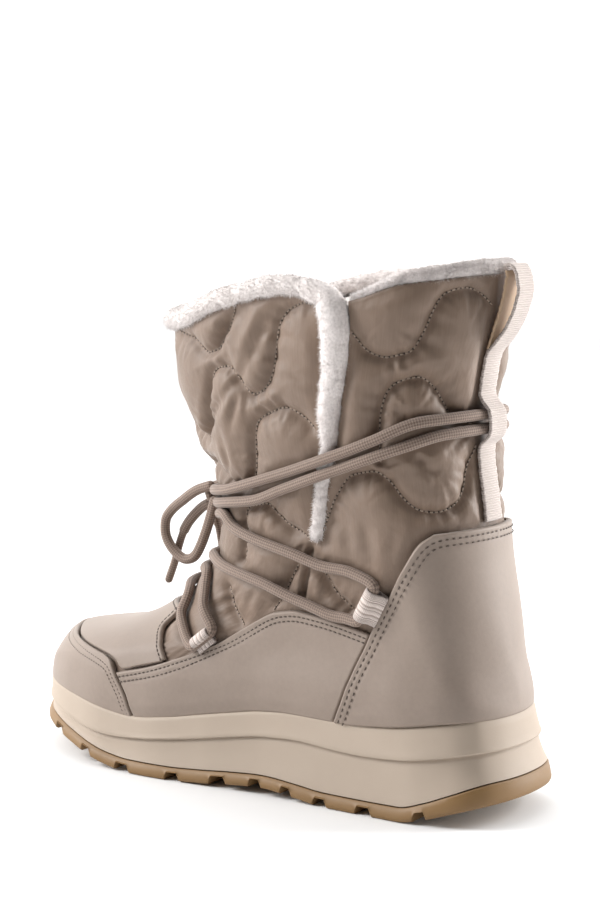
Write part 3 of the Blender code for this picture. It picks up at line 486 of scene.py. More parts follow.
def loop_eye(row, side):
    """Both ends of the lace's way through a loop."""
    sewn, ahead, out, across, length = loop_frame(row, side)
    big = EYE + WEB_THICK
    middle = sewn + ahead * (length - big) + out * big
    reach = LOOP["width"][row] / 2 + 1.6
    return middle - across * reach, middle + across * reach


# Two strands round the ankle
ANKLE_UPPER = ("turn", "v", "lift"), (
    (0.000, 0.697, 3.0),
    (0.740, 0.700, 3.0),
    (0.938, 0.700, 3.0),
    (1.441, 0.724, 3.0),
    (1.600, 0.734, 3.6),
    (1.834, 0.750, 4.9),
    (2.050, 0.764, 3.8),
    (2.216, 0.776, 3.0),
    (2.554, 0.799, 3.0),
    (3.000, 0.7995, 3.0),
    (3.1416, 0.7995, 3.0),
)
ANKLE_LOWER = ("turn", "v", "lift"), (
    (0.000, 0.671, 3.0),
    (0.811, 0.673, 3.0),
    (1.199, 0.676, 3.0),
    (1.500, 0.698, 3.4),
    (1.760, 0.718, 4.9),
    (2.004, 0.734, 3.6),
    (2.373, 0.757, 3.0),
    (2.706, 0.773, 3.0),
    (2.996, 0.7740, 3.0),
    (3.1416, 0.7740, 3.0),
)
# Instep strand: over the front, back to the upper loop, through it and forward again
INSTEP = ("turn", "v", "lift"), (
    (0.000, 0.643, 3.0),
    (0.450, 0.646, 3.0),
    (0.769, 0.650, 3.0),
    (0.969, 0.618, 3.0),
    (1.162, 0.594, 3.0),
    (1.489, 0.556, 3.0),
    (1.749, 0.520, 3.0),
    (1.940, 0.506, 3.4),
    (2.066, 0.462, 4.9),
    (2.061, 0.430, 4.9),
    (2.054, 0.398, 4.9),
    (1.920, 0.390, 3.4),
    (1.622, 0.437, 3.0),
    (1.332, 0.486, 3.0),
    (1.029, 0.515, 3.0),
    (0.763, 0.531, 3.0),
    (0.560, 0.537, 3.0),
    (0.300, 0.539, 3.0),
    (0.000, 0.539, 3.0),
)
# Vamp strand: over the front, down to the lower loop, through it and up again
THROAT = ("turn", "v", "lift"), (
    (0.000, 0.506, 3.0),
    (0.300, 0.506, 3.0),
    (0.480, 0.505, 3.0),
    (0.620, 0.500, 3.0),
    (0.730, 0.486, 3.0),
    (0.860, 0.452, 3.5),
    (1.030, 0.404, 6.0),
    (1.245, 0.342, 4.9),
    (1.200, 0.330, 4.9),
    (1.155, 0.320, 4.9),
    (0.985, 0.352, 3.6),
    (0.811, 0.392, 4.2),
    (0.690, 0.430, 4.0),
    (0.450, 0.460, 3.2),
    (0.000, 0.470, 3.2),
)


def chart_line(table, side, eye_row, loop_row, fine=14):
    """Points in space along a lace table on one side, with their normals.
    From eye_row on, two steps of the table run straight through the eye of a loop."""
    c = columns(table)
    row = np.arange(len(c["turn"]))
    at = np.linspace(0, len(row) - 1, (len(row) - 1) * fine + 1)
    turn, v, lift = (curve(row, c[k], at) for k in ("turn", "v", "lift"))
    points = skin(v, turn, side, lift)
    if eye_row is not None:
        first, last = eye_row * fine, (eye_row + 2) * fine
        start, end = loop_eye(loop_row, side)
        if np.linalg.norm(points[first] - start) > np.linalg.norm(points[first] - end):
            start, end = end, start
        part = np.clip((at - eye_row) / 2, 0, 1)[:, None]
        straight = start + (end - start) * part
        before = np.clip(at - eye_row + 1, 0, 1)
        after = np.clip(eye_row + 3 - at, 0, 1)
        share = np.minimum(before, after)
        share = (share * share * (3 - 2 * share))[:, None]
        shift = np.where((at > eye_row + 2)[:, None], end - points[last], straight - points)
        shift = np.where((at < eye_row)[:, None], start - points[first], shift)
        points = points + share * shift
    return points, upper_normal(v, turn, side + 0 * v)


# Bow and ends of the lace, in millimetres
BOW_OUTER = (
    (8.8, -31.2, 131.5),
    (8.4, -38.8, 129.0),
    (6.4, -49.2, 122.9),
    (5.0, -56.9, 117.6),
    (5.0, -60.8, 112.2),
    (5.0, -61.1, 106.9),
    (5.0, -58.8, 101.4),
    (5.0, -54.3, 97.0),
    (5.0, -49.0, 94.4),
    (5.2, -44.0, 95.9),
    (5.6, -39.6, 101.8),
    (6.2, -35.6, 109.9),
    (7.0, -32.3, 117.6),
    (7.6, -29.8, 124.4),
)
BOW_INNER = (
    (-8.4, -35.0, 131.0),
    (-14.0, -38.0, 128.2),
    (-20.0, -38.8, 122.0),
    (-24.0, -37.0, 114.0),
    (-24.6, -35.0, 106.5),
    (-22.2, -35.0, 100.8),
    (-17.8, -36.2, 99.6),
    (-14.0, -37.2, 104.0),
    (-11.0, -36.4, 112.0),
    (-8.8, -35.4, 123.8),
)
END_OUTER = (
    (1.5, -36.8, 122.2),
    (0.6, -41.2, 120.3),
    (0.0, -45.0, 117.5),
    (0.0, -49.1, 113.6),
    (0.0, -53.0, 108.4),
    (0.0, -56.3, 100.9),
    (0.0, -59.1, 92.0),
    (0.0, -62.9, 82.8),
)
END_INNER = (
    (-3.6, -37.0, 121.8),
    (-10.0, -42.6, 118.4),
    (-13.6, -44.0, 112.0),
    (-15.6, -43.6, 104.0),
    (-16.6, -43.0, 96.0),
    (-17.0, -42.8, 87.0),
)


# Mesh helpers

def on_upper(v, turn, side, lift):
    """Point of the upper's outer face moved out by lift, with the collar's rise added."""
    point = skin(v, turn, side, lift)
    point[..., 2] += collar_rise(v, turn)
    return point


def grid_faces(rows, cols, wrap_cols=False, keep=None):
    """Quads between neighbouring rows and columns of a grid; wrap_cols joins the last column to the first.
    Gives the point numbers and the grid place of each corner."""
    row, col = np.meshgrid(np.arange(rows - 1), np.arange(cols if wrap_cols else cols - 1), indexing="ij")
    if keep is not None:
        row, col = row[keep], col[keep]
    row, col = row.ravel(), col.ravel()
    place_r = np.stack([row, row, row + 1, row + 1], 1)
    place_c = np.stack([col, col + 1, col + 1, col], 1)
    return place_r * cols + place_c % cols, place_r, place_c


def mesh_piece(name, points, faces, mats, uv=None, slots=None):
    """Smooth mesh from points in millimetres. faces: list of index arrays, each with one corner count.
    uv: list of arrays of the same layout, or None. slots: material number of each array, or None."""
    mesh = bpy.data.meshes.new(name)
    points = np.asarray(points, float).reshape(-1, 3) * MM
    sizes = np.concatenate([np.full(len(f), f.shape[1]) for f in faces])
    corners = np.concatenate([f.ravel() for f in faces])
    mesh.vertices.add(len(points))
    mesh.vertices.foreach_set("co", points.ravel())
    mesh.loops.add(len(corners))
    mesh.loops.foreach_set("vertex_index", corners.astype(np.int32))
    mesh.polygons.add(len(sizes))
    mesh.polygons.foreach_set("loop_start", (np.cumsum(sizes) - sizes).astype(np.int32))
    mesh.polygons.foreach_set("use_smooth", np.ones(len(sizes), bool))
    if uv is not None:
        layer = mesh.uv_layers.new(name="chart")
        layer.data.foreach_set("uv", np.concatenate([u.reshape(-1) for u in uv]))
    mesh.update(calc_edges=True)
    for mat in mats:
        mesh.materials.append(mat)
    if slots is not None:
        numbers = np.concatenate([np.full(len(f), k) for f, k in zip(faces, slots)])
        mesh.polygons.foreach_set("material_index", numbers.astype(np.int32))
    obj = bpy.data.objects.new(name, mesh)
    bpy.context.scene.collection.objects.link(obj)
    return obj


def sheet_piece(name, grid, mats, u=None, v=None, wrap_cols=False, keep=None):
    """Sheet through a grid of points [row, column]; u and v are millimetres along columns and rows.
    With wrap_cols, u and v have one more column than the grid."""
    rows, cols = grid.shape[:2]
    faces, place_r, place_c = grid_faces(rows, cols, wrap_cols, keep)
    uv = None
    if u is not None:
        uv = [np.stack([u[place_r, place_c], v[place_r, place_c]], -1)]
    return mesh_piece(name, grid, [faces], mats, uv)


def walled(obj, thick, inner_slot=0):
    """Gives a sheet its thickness, inwards."""
    wall = obj.modifiers.new("wall", "SOLIDIFY")
    wall.thickness = thick * MM
    wall.offset = -1.0
    wall.material_offset = inner_slot
    wall.use_even_offset = False
    return obj


def seat(obj, slot, *nodes):
    """The piece rides on the boot and stands for these solids. The slot is not used."""
    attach(obj, "root")
    if nodes:
        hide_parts(*nodes)
    return obj


def unit(vectors):
    """Vectors divided by their lengths."""
    return vectors / np.maximum(np.linalg.norm(vectors, axis=-1, keepdims=True), 1e-9)


def lengths(line):
    """Millimetres along a line from its first point."""
    return np.concatenate([[0.0], np.cumsum(np.linalg.norm(np.diff(line, axis=0), axis=1))])


def evenly(line, step=None, count=None, closed=False):
    """The line's points spread evenly, step millimetres apart."""
    if closed:
        line = np.concatenate([line, line[:1]])
    reach = lengths(line)
    if count is None:
        count = max(2, int(round(reach[-1] / step)) + 1)
    want = np.linspace(0, reach[-1], count + 1 if closed else count)
    fine = np.stack([np.interp(want, reach, line[:, k]) for k in range(line.shape[1])], 1)
    return fine[:-1] if closed else fine


def softened(line, times, closed):
    """Each point moved to the mean of itself, twice, and its two neighbours, several times over."""
    for _ in range(times):
        near = (np.roll(line, 1, 0) + 2 * line + np.roll(line, -1, 0)) / 4
        if not closed:
            near[0], near[-1] = line[0], line[-1]
        line = near
    return line


def nearest(points, line):
    """Distance from each point to the closest point of a line, and that point's number."""
    far = np.zeros(len(points))
    which = np.zeros(len(points), int)
    square = (line ** 2).sum(1)
    for start in range(0, len(points), 4096):
        block = points[start:start + 4096]
        gap = (block ** 2).sum(1)[:, None] + square[None] - 2 * block @ line.T
        best = gap.argmin(1)
        which[start:start + 4096] = best
        far[start:start + 4096] = np.sqrt(np.maximum(gap[np.arange(len(block)), best], 0))
    return far, which


def tube_parts(path, normals, wide, high, sides, closed, square=1.0):
    """Oval sweep: at each path point a ring of half width wide across and high along the normal.
    square below 1 draws the oval towards a flat band.
    Gives points, faces and UVs: share round it, millimetres along it."""
    ahead = (np.roll(path, -1, 0) - np.roll(path, 1, 0)) if closed else np.gradient(path, axis=0)
    ahead = unit(ahead)
    up = unit(normals - ahead * (normals * ahead).sum(1)[:, None])
    across = np.cross(ahead, up)
    angle = np.arange(sides) * 2 * math.pi / sides
    rise = np.sign(np.cos(angle)) * np.abs(np.cos(angle)) ** square
    reach = np.sign(np.sin(angle)) * np.abs(np.sin(angle)) ** square
    wide = np.broadcast_to(np.asarray(wide, float), (len(path),))
    high = np.broadcast_to(np.asarray(high, float), (len(path),))
    ring = (
        path[:, None]
        + (high[:, None] * rise)[..., None] * up[:, None]
        + (wide[:, None] * reach)[..., None] * across[:, None]
    )
    if closed:
        faces, place_r, place_c = grid_faces(len(path) + 1, sides, True)
        faces = faces % (len(path) * sides)
        along = lengths(np.concatenate([path, path[:1]]))
    else:
        faces, place_r, place_c = grid_faces(len(path), sides, True)
        along = lengths(path)
    uv = np.stack([place_c / sides, along[place_r]], -1)
    return ring.reshape(-1, 3), faces, uv


def tube_piece(name, path, normals, wide, high, sides, mats, closed):
    """Oval sweep as a piece, with round ends where it is open."""
    if not closed:
        start = unit(path[0] - path[1])
        end = unit(path[-1] - path[-2])
        wide = np.broadcast_to(np.asarray(wide, float), (len(path),))
        high = np.broadcast_to(np.asarray(high, float), (len(path),))
        tip = np.array([0.95, 0.75, 0.35])
        bulge = np.array([0.25, 0.6, 0.9])
        low = path[0] + start * (bulge * wide[0])[::-1, None]
        top = path[-1] + end * (bulge * wide[-1])[:, None]
        path = np.concatenate([low, path, top])
        normals = np.concatenate([normals[:1].repeat(3, 0), normals, normals[-1:].repeat(3, 0)])
        wide = np.concatenate([wide[0] * tip[::-1], wide, wide[-1] * tip])
        high = np.concatenate([high[0] * tip[::-1], high, high[-1] * tip])
    points, faces, uv = tube_parts(path, normals, wide, high, sides, closed)
    groups, uvs = [faces], [uv]
    if not closed:
        first = np.arange(sides)[::-1][None]
        last = (np.arange(sides) + (len(path) - 1) * sides)[None]
        groups += [first, last]
        uvs += [np.zeros((1, sides, 2)), np.zeros((1, sides, 2))]
    return mesh_piece(name, points, groups, mats, uvs)


def copies(name, shape, faces, centres, ahead, out, mats, scale=None):
    """One small shape set at many places: its x runs ahead, its z out, its y across."""
    across = np.cross(out, ahead)
    if scale is None:
        scale = np.ones((len(centres), 3))
    local = shape[None] * scale[:, None]
    points = (
        centres[:, None]
        + local[..., 0:1] * ahead[:, None]
        + local[..., 1:2] * across[:, None]
        + local[..., 2:3] * out[:, None]
    )
    shift = (np.arange(len(centres)) * len(shape))[:, None, None]
    return mesh_piece(name, points, [(f[None] + shift).reshape(-1, f.shape[1]) for f in faces], mats)


def bead(long, wide, high, rings=4, sides=6):
    """Stretched bead, an ellipsoid of these half sizes with small flat poles: points and faces."""
    polar = np.linspace(0.12, math.pi - 0.12, rings)
    angle = np.arange(sides) * 2 * math.pi / sides
    x = -np.cos(polar)[:, None] + 0 * angle
    y = np.sin(polar)[:, None] * np.cos(angle)
    z = np.sin(polar)[:, None] * np.sin(angle)
    points = np.stack([x * long, y * wide, z * high], -1).reshape(-1, 3)
    faces, _, _ = grid_faces(rings, sides, True)
    ends = np.stack([np.arange(sides)[::-1], np.arange(sides) + (rings - 1) * sides])
    return points, [faces, ends]


# Finishes

def finish(name, base, rough, sheen=0.0, coat=0.0, specular=0.5):
    """Principled material with its plain values set on the sockets."""
    mat = bpy.data.materials.new(name)
    mat.use_nodes = True
    shader = mat.node_tree.nodes["Principled BSDF"]
    shader.inputs["Base Color"].default_value = (*base, 1.0)
    shader.inputs["Roughness"].default_value = rough
    shader.inputs["Sheen Weight"].default_value = sheen
    shader.inputs["Sheen Roughness"].default_value = 0.5
    shader.inputs["Coat Weight"].default_value = coat
    shader.inputs["Specular IOR Level"].default_value = specular
    return mat, mat.node_tree.nodes, mat.node_tree.links, shader


def coordinates(nodes, links, kind, scale=(1, 1, 1), turn=0.0):
    """Object or UV coordinates through a mapping."""
    source = nodes.new("ShaderNodeTexCoord")
    mapping = nodes.new("ShaderNodeMapping")
    mapping.inputs["Scale"].default_value = scale
    mapping.inputs["Rotation"].default_value = (0.0, 0.0, turn)
    links.new(source.outputs[kind], mapping.inputs["Vector"])
    return mapping.outputs["Vector"]


def noise(nodes, links, place, scale, detail=3.0, rough=0.5):
    """Cloudy value between 0 and 1."""
    node = nodes.new("ShaderNodeTexNoise")
    node.inputs["Scale"].default_value = scale
    node.inputs["Detail"].default_value = detail
    node.inputs["Roughness"].default_value = rough
    links.new(place, node.inputs["Vector"])
    return node.outputs["Fac"]


def waves(nodes, links, place, scale, distortion=0.0, direction="X"):
    """Bands of a sine, between 0 and 1."""
    node = nodes.new("ShaderNodeTexWave")
    node.bands_direction = direction
    node.inputs["Scale"].default_value = scale
    node.inputs["Distortion"].default_value = distortion
    links.new(place, node.inputs["Vector"])
    return node.outputs["Fac"]


def checks(nodes, links, place, scale):
    """Checker of 0 and 1."""
    node = nodes.new("ShaderNodeTexChecker")
    node.inputs["Scale"].default_value = scale
    node.inputs["Color1"].default_value = (1, 1, 1, 1)
    node.inputs["Color2"].default_value = (0, 0, 0, 1)
    links.new(place, node.inputs["Vector"])
    return node.outputs["Fac"]


def ramp(nodes, links, source, low, high, start=0.3, stop=0.7):
    """Colour from low to high as the source goes from start to stop."""
    node = nodes.new("ShaderNodeValToRGB")
    node.color_ramp.elements[0].position = start
    node.color_ramp.elements[1].position = stop
    node.color_ramp.elements[0].color = (*low, 1.0)
    node.color_ramp.elements[1].color = (*high, 1.0)
    links.new(source, node.inputs["Fac"])
    return node.outputs["Color"]


def times(nodes, links, one, two):
    """Two colours multiplied."""
    node = nodes.new("ShaderNodeMix")
    node.data_type = "RGBA"
    node.blend_type = "MULTIPLY"
    node.inputs[0].default_value = 1.0
    links.new(one, node.inputs[6])
    links.new(two, node.inputs[7])
    return node.outputs[2]


def spread(nodes, links, source, low, high):
    """Number from low to high as the source goes from 0 to 1."""
    node = nodes.new("ShaderNodeMapRange")
    node.inputs["To Min"].default_value = low
    node.inputs["To Max"].default_value = high
    links.new(source, node.inputs["Value"])
    return node.outputs["Result"]


def relief(nodes, links, shader, heights):
    """Chain of bumps: (height socket, depth in millimetres, strength)."""
    before = None
    for height, depth, strength in heights:
        node = nodes.new("ShaderNodeBump")
        node.inputs["Distance"].default_value = depth * MM
        node.inputs["Strength"].default_value = strength
        links.new(height, node.inputs["Height"])
        if before is not None:
            links.new(before, node.inputs["Normal"])
        before = node.outputs["Normal"]
    links.new(before, shader.inputs["Normal"])


def quilted_cloth():
    """Taupe sateen shell cloth: fine upright slubs, a faint weave and soft sheen."""
    plain = (0.228, 0.166, 0.124)
    mat, nodes, links, shader = finish("quilted_cloth", plain, 0.50, sheen=0.15, specular=0.35)
    chart = coordinates(nodes, links, "UV")
    slub = noise(nodes, links, coordinates(nodes, links, "UV", (2.2, 0.06, 1)), 1.0, 4.0, 0.65)
    cross = noise(nodes, links, coordinates(nodes, links, "UV", (0.05, 2.0, 1)), 1.0, 3.0, 0.6)
    cloud = noise(nodes, links, chart, 0.05, 3.0)
    rumple = noise(nodes, links, coordinates(nodes, links, "UV", (0.20, 0.11, 1), 0.5), 1.0, 2.5, 0.5)
    weave = checks(nodes, links, chart, 2.6)
    colour = ramp(nodes, links, slub, (0.166, 0.115, 0.083), (0.204, 0.142, 0.104), 0.25, 0.75)
    colour = times(nodes, links, colour, ramp(nodes, links, cloud, (0.90, 0.90, 0.90), (1.06, 1.05, 1.04)))
    links.new(colour, shader.inputs["Base Color"])
    links.new(spread(nodes, links, slub, 0.44, 0.62), shader.inputs["Roughness"])
    relief(nodes, links, shader, [(rumple, 1.6, 0.45), (slub, 0.10, 0.5), (cross, 0.06, 0.35),
                                   (weave, 0.04, 0.25)])
    return mat


def smooth_leather(name, low, high, rough):
    """Fine matt leather: tiny grain, soft cloudy tone and a slight change of gloss."""
    mat, nodes, links, shader = finish(name, high, rough, sheen=0.08, specular=0.4)
    place = coordinates(nodes, links, "Object")
    grain = noise(nodes, links, place, 1500.0, 3.0, 0.6)
    pores = noise(nodes, links, place, 420.0, 4.0, 0.6)
    cloud = noise(nodes, links, place, 28.0, 4.0, 0.55)
    colour = ramp(nodes, links, cloud, low, high, 0.3, 0.7)
    colour = times(nodes, links, colour, ramp(nodes, links, pores, (0.95, 0.95, 0.95), (1.03, 1.03, 1.03)))
    links.new(colour, shader.inputs["Base Color"])
    links.new(spread(nodes, links, pores, rough - 0.06, rough + 0.08), shader.inputs["Roughness"])
    relief(nodes, links, shader, [(cloud, 0.35, 0.25), (pores, 0.12, 0.4), (grain, 0.05, 0.4)])
    return mat


def moulded(name, low, high, rough, grain_mm):
    """Moulded foam or rubber: fine even grain and a faint cloud."""
    mat, nodes, links, shader = finish(name, high, rough, specular=0.4)
    place = coordinates(nodes, links, "Object")
    grain = noise(nodes, links, place, 1000.0 / grain_mm, 2.0, 0.5)
    cloud = noise(nodes, links, place, 22.0, 4.0, 0.55)
    links.new(ramp(nodes, links, cloud, low, high), shader.inputs["Base Color"])
    links.new(spread(nodes, links, grain, rough - 0.05, rough + 0.08), shader.inputs["Roughness"])
    relief(nodes, links, shader, [(grain, 0.06, 0.35), (cloud, 0.25, 0.2)])
    return mat


def webbing(name, rib_way, warp_way):
    """Cream webbing: ribs one way, fine warp lines the other way."""
    mat, nodes, links, shader = finish(name, (0.72, 0.63, 0.57), 0.8, sheen=0.2, specular=0.25)
    rib = waves(nodes, links, coordinates(nodes, links, "UV", (1, 1, 1)), 0.30, 0.4, rib_way)
    warp = waves(nodes, links, coordinates(nodes, links, "UV", (1, 1, 1)), 0.42, 0.6, warp_way)
    fuzz = noise(nodes, links, coordinates(nodes, links, "UV"), 3.0, 3.0)
    colour = ramp(nodes, links, rib, (0.46, 0.395, 0.360), (0.55, 0.483, 0.450), 0.05, 0.6)
    colour = times(nodes, links, colour, ramp(nodes, links, warp, (0.90, 0.89, 0.88), (1.03, 1.03, 1.03)))
    links.new(colour, shader.inputs["Base Color"])
    relief(nodes, links, shader, [(rib, 0.35, 0.7), (warp, 0.12, 0.5), (fuzz, 0.08, 0.4)])
    return mat


def corded_webbing():
    """Cream webbing of the lace loops: pale cords along the band with darker lines between them."""
    mat, nodes, links, shader = finish("corded_webbing", (0.72, 0.63, 0.57), 0.8, sheen=0.2, specular=0.25)
    cord = waves(nodes, links, coordinates(nodes, links, "UV", (1, 1, 1)), 0.40, 0.06, "X")
    dash = waves(nodes, links, coordinates(nodes, links, "UV", (1, 1, 1)), 0.48, 0.3, "Y")
    colour = ramp(nodes, links, cord, (0.37, 0.305, 0.270), (0.64, 0.555, 0.515), 0.06, 0.46)
    colour = times(nodes, links, colour, ramp(nodes, links, dash, (0.90, 0.89, 0.88), (1.08, 1.08, 1.08)))
    links.new(colour, shader.inputs["Base Color"])
    relief(nodes, links, shader, [(cord, 0.45, 0.6), (dash, 0.14, 0.5)])
    return mat


def braid():
    """Round woven lace: a diagonal check of light and dark yarn with a fine bump."""
    mat, nodes, links, shader = finish("taupe_lace", (0.30, 0.23, 0.17), 0.72, sheen=0.15, specular=0.25)
    weave = checks(nodes, links, coordinates(nodes, links, "UV", (17.0, 1.25, 1), 0.785), 1.0)
    rib = waves(nodes, links, coordinates(nodes, links, "UV", (1, 1, 1)), 2.6, 1.0, "X")
    fuzz = noise(nodes, links, coordinates(nodes, links, "UV", (8, 1.2, 1)), 1.4, 3.0)
    colour = ramp(nodes, links, weave, (0.165, 0.120, 0.096), (0.285, 0.214, 0.174), 0.2, 0.8)
    colour = times(nodes, links, colour, ramp(nodes, links, fuzz, (0.84, 0.84, 0.84), (1.1, 1.09, 1.08)))
    links.new(colour, shader.inputs["Base Color"])
    relief(nodes, links, shader, [(rib, 0.18, 0.5), (weave, 0.16, 0.6)])
    return mat


def pile(name, low, high, tufted=True):
    """Pale pile: soft cloudy white with a strong sheen; tufted adds small tufts as relief."""
    mat, nodes, links, shader = finish(name, high, 0.95, sheen=0.4, specular=0.1)
    place = coordinates(nodes, links, "Object")
    cloud = noise(nodes, links, place, 60.0, 4.0)
    tuft = noise(nodes, links, place, 330.0, 3.0, 0.6)
    strand = noise(nodes, links, place, 900.0, 2.0)
    colour = ramp(nodes, links, cloud, low, high)
    colour = times(nodes, links, colour, ramp(nodes, links, strand, (0.80, 0.79, 0.785), (1.06, 1.06, 1.06)))
    links.new(colour, shader.inputs["Base Color"])
    if tufted:
        relief(nodes, links, shader, [(cloud, 1.2, 0.4), (tuft, 0.5, 0.4)])
    return mat


def thread(name, low, high):
    """Sewing thread, slightly glossy, in uneven tone."""
    mat, nodes, links, shader = finish(name, high, 0.55, specular=0.4)
    twist = noise(nodes, links, coordinates(nodes, links, "Object"), 900.0, 2.0)
    links.new(ramp(nodes, links, twist, low, high), shader.inputs["Base Color"])
    relief(nodes, links, shader, [(twist, 0.08, 0.4)])
    return mat


CLOTH = quilted_cloth()
LEATHER = smooth_leather("greige_leather", (0.240, 0.187, 0.152), (0.267, 0.210, 0.172), 0.56)
TAN = smooth_leather("tan_leather", (0.43, 0.295, 0.185), (0.50, 0.350, 0.230), 0.55)
FOAM = moulded("beige_foam", (0.378, 0.306, 0.243), (0.408, 0.334, 0.268), 0.62, 1.1)
GUM = moulded("gum_rubber", (0.200, 0.113, 0.042), (0.235, 0.137, 0.057), 0.50, 0.8)
FELT = pile("footbed_felt", (0.66, 0.61, 0.56), (0.76, 0.71, 0.66))
FLEECE = pile("lining_fleece", (0.74, 0.69, 0.66), (0.86, 0.82, 0.79))
FUR = pile("pale_fur", (0.72, 0.660, 0.636), (0.81, 0.757, 0.735))
HAIR = pile("pale_fur_hair", (0.76, 0.702, 0.680), (0.87, 0.820, 0.800), False)
WEB = webbing("cream_webbing", "Y", "X")
LOOP_WEB = corded_webbing()
LACE = braid()
PALE_THREAD = thread("pale_thread", (0.24, 0.176, 0.132), (0.38, 0.300, 0.245))
DARK_THREAD = thread("dark_thread", (0.062, 0.045, 0.034), (0.105, 0.078, 0.060))
CAP_THREAD = thread("cap_thread", (0.135, 0.102, 0.080), (0.200, 0.155, 0.125))
# Painted shade: near-black thread beads that stand for the shade inside the quilt's needle holes
HOLE_SHADE = thread("painted_hole_shade", (0.030, 0.022, 0.016), (0.050, 0.038, 0.028))


# Lace rings

def ring_path(table, eye_row=None, loop_row=None):
    """Closed line of a lace: the outer side's chart line, then the inner side's line back,
    evenly and softly run."""
    one, one_n = chart_line(table, 1.0, eye_row, loop_row)
    two, two_n = chart_line(table, -1.0, eye_row, loop_row)
    path = np.concatenate([one, two[1:-1][::-1]])
    normal = np.concatenate([one_n, two_n[1:-1][::-1]])
    both = evenly(np.concatenate([path, normal], 1), step=1.2, closed=True)
    both = softened(both, 5, True)
    return both[:, :3], unit(both[:, 3:])


RING_PATHS = {
    "lace_ankle_upper": ring_path(ANKLE_UPPER),
    "lace_ankle_lower": ring_path(ANKLE_LOWER),
    "lace_instep": ring_path(INSTEP, 8, 0),
    "lace_throat": ring_path(THROAT, 7, 1),
}
LACE_LINE = np.concatenate([path for path, _ in RING_PATHS.values()])

for ring_name, (ring_line, ring_normal) in RING_PATHS.items():
    lace = tube_piece(ring_name + "_woven", ring_line, ring_normal, 2.45, 2.3, 14, [LACE], True)
    seat(lace, "taupe_lace", ring_name)


# Free lace

def smooth_route(points, step):
    """Even points on a soft line through the given ones."""
    points = np.array(points, float)
    reach = lengths(points)
    want = np.linspace(0, reach[-1], int(reach[-1] / step) + 1)
    fine = np.stack([curve(reach, points[:, k], want) for k in range(3)], 1)
    return evenly(softened(fine, 6, False), step=step)


def free_lace(name, points, node, aglet=0.0):
    """Free end or bow of the lace as a round woven cord; aglet is the length of its bare thin tip."""
    path = smooth_route(points, 1.0)
    reach = lengths(path)
    left = reach[-1] - reach
    half = np.full(len(path), 2.4)
    if aglet:
        half = np.where(left < aglet, 1.9, 2.4)
    ahead = unit(np.gradient(path, axis=0))
    side = np.broadcast_to(np.array([1.0, 0.25, 0.1]), ahead.shape)
    lace = tube_piece(name, path, side, half, half, 14, [LACE], False)
    seat(lace, "taupe_lace", node)
    return lace


free_lace("bow_loop_outer", BOW_OUTER, "lace_bow_outer")
free_lace("bow_loop_inner", BOW_INNER, "lace_bow_inner")
free_lace("lace_tail_outer", END_OUTER, "lace_end_outer", 26.0)
free_lace("lace_tail_inner", END_INNER, "lace_end_inner", 22.0)


def knot_piece():
    """Knot: a flat figure of eight of lace with a band wrapped round its middle."""
    t = np.linspace(0, 2 * math.pi, 90)[:-1]
    eight = np.stack([6.4 * np.sin(t), -33.8 - 1.5 * np.cos(t), 127.4 + 2.6 * np.sin(2 * t)], 1)
    band = np.stack([1.2 * np.sin(2 * t), -33.5 + 3.5 * np.cos(t), 127.4 + 4.0 * np.sin(t)], 1)
    out = np.broadcast_to(np.array([0.0, -1.0, 0.2]), eight.shape)
    spoke = unit(band - np.array([0.0, -33.5, 127.4]))
    one = tube_parts(eight, out, 2.1, 1.8, 12, True)
    two = tube_parts(band, spoke, 2.6, 1.5, 12, True)
    faces = [one[1], two[1] + len(one[0])]
    return mesh_piece("lace_bow_knot", np.concatenate([one[0], two[0]]), faces, [LACE], [one[2], two[2]])


seat(knot_piece(), "taupe_lace", "lace_knot")


# Quilted upper

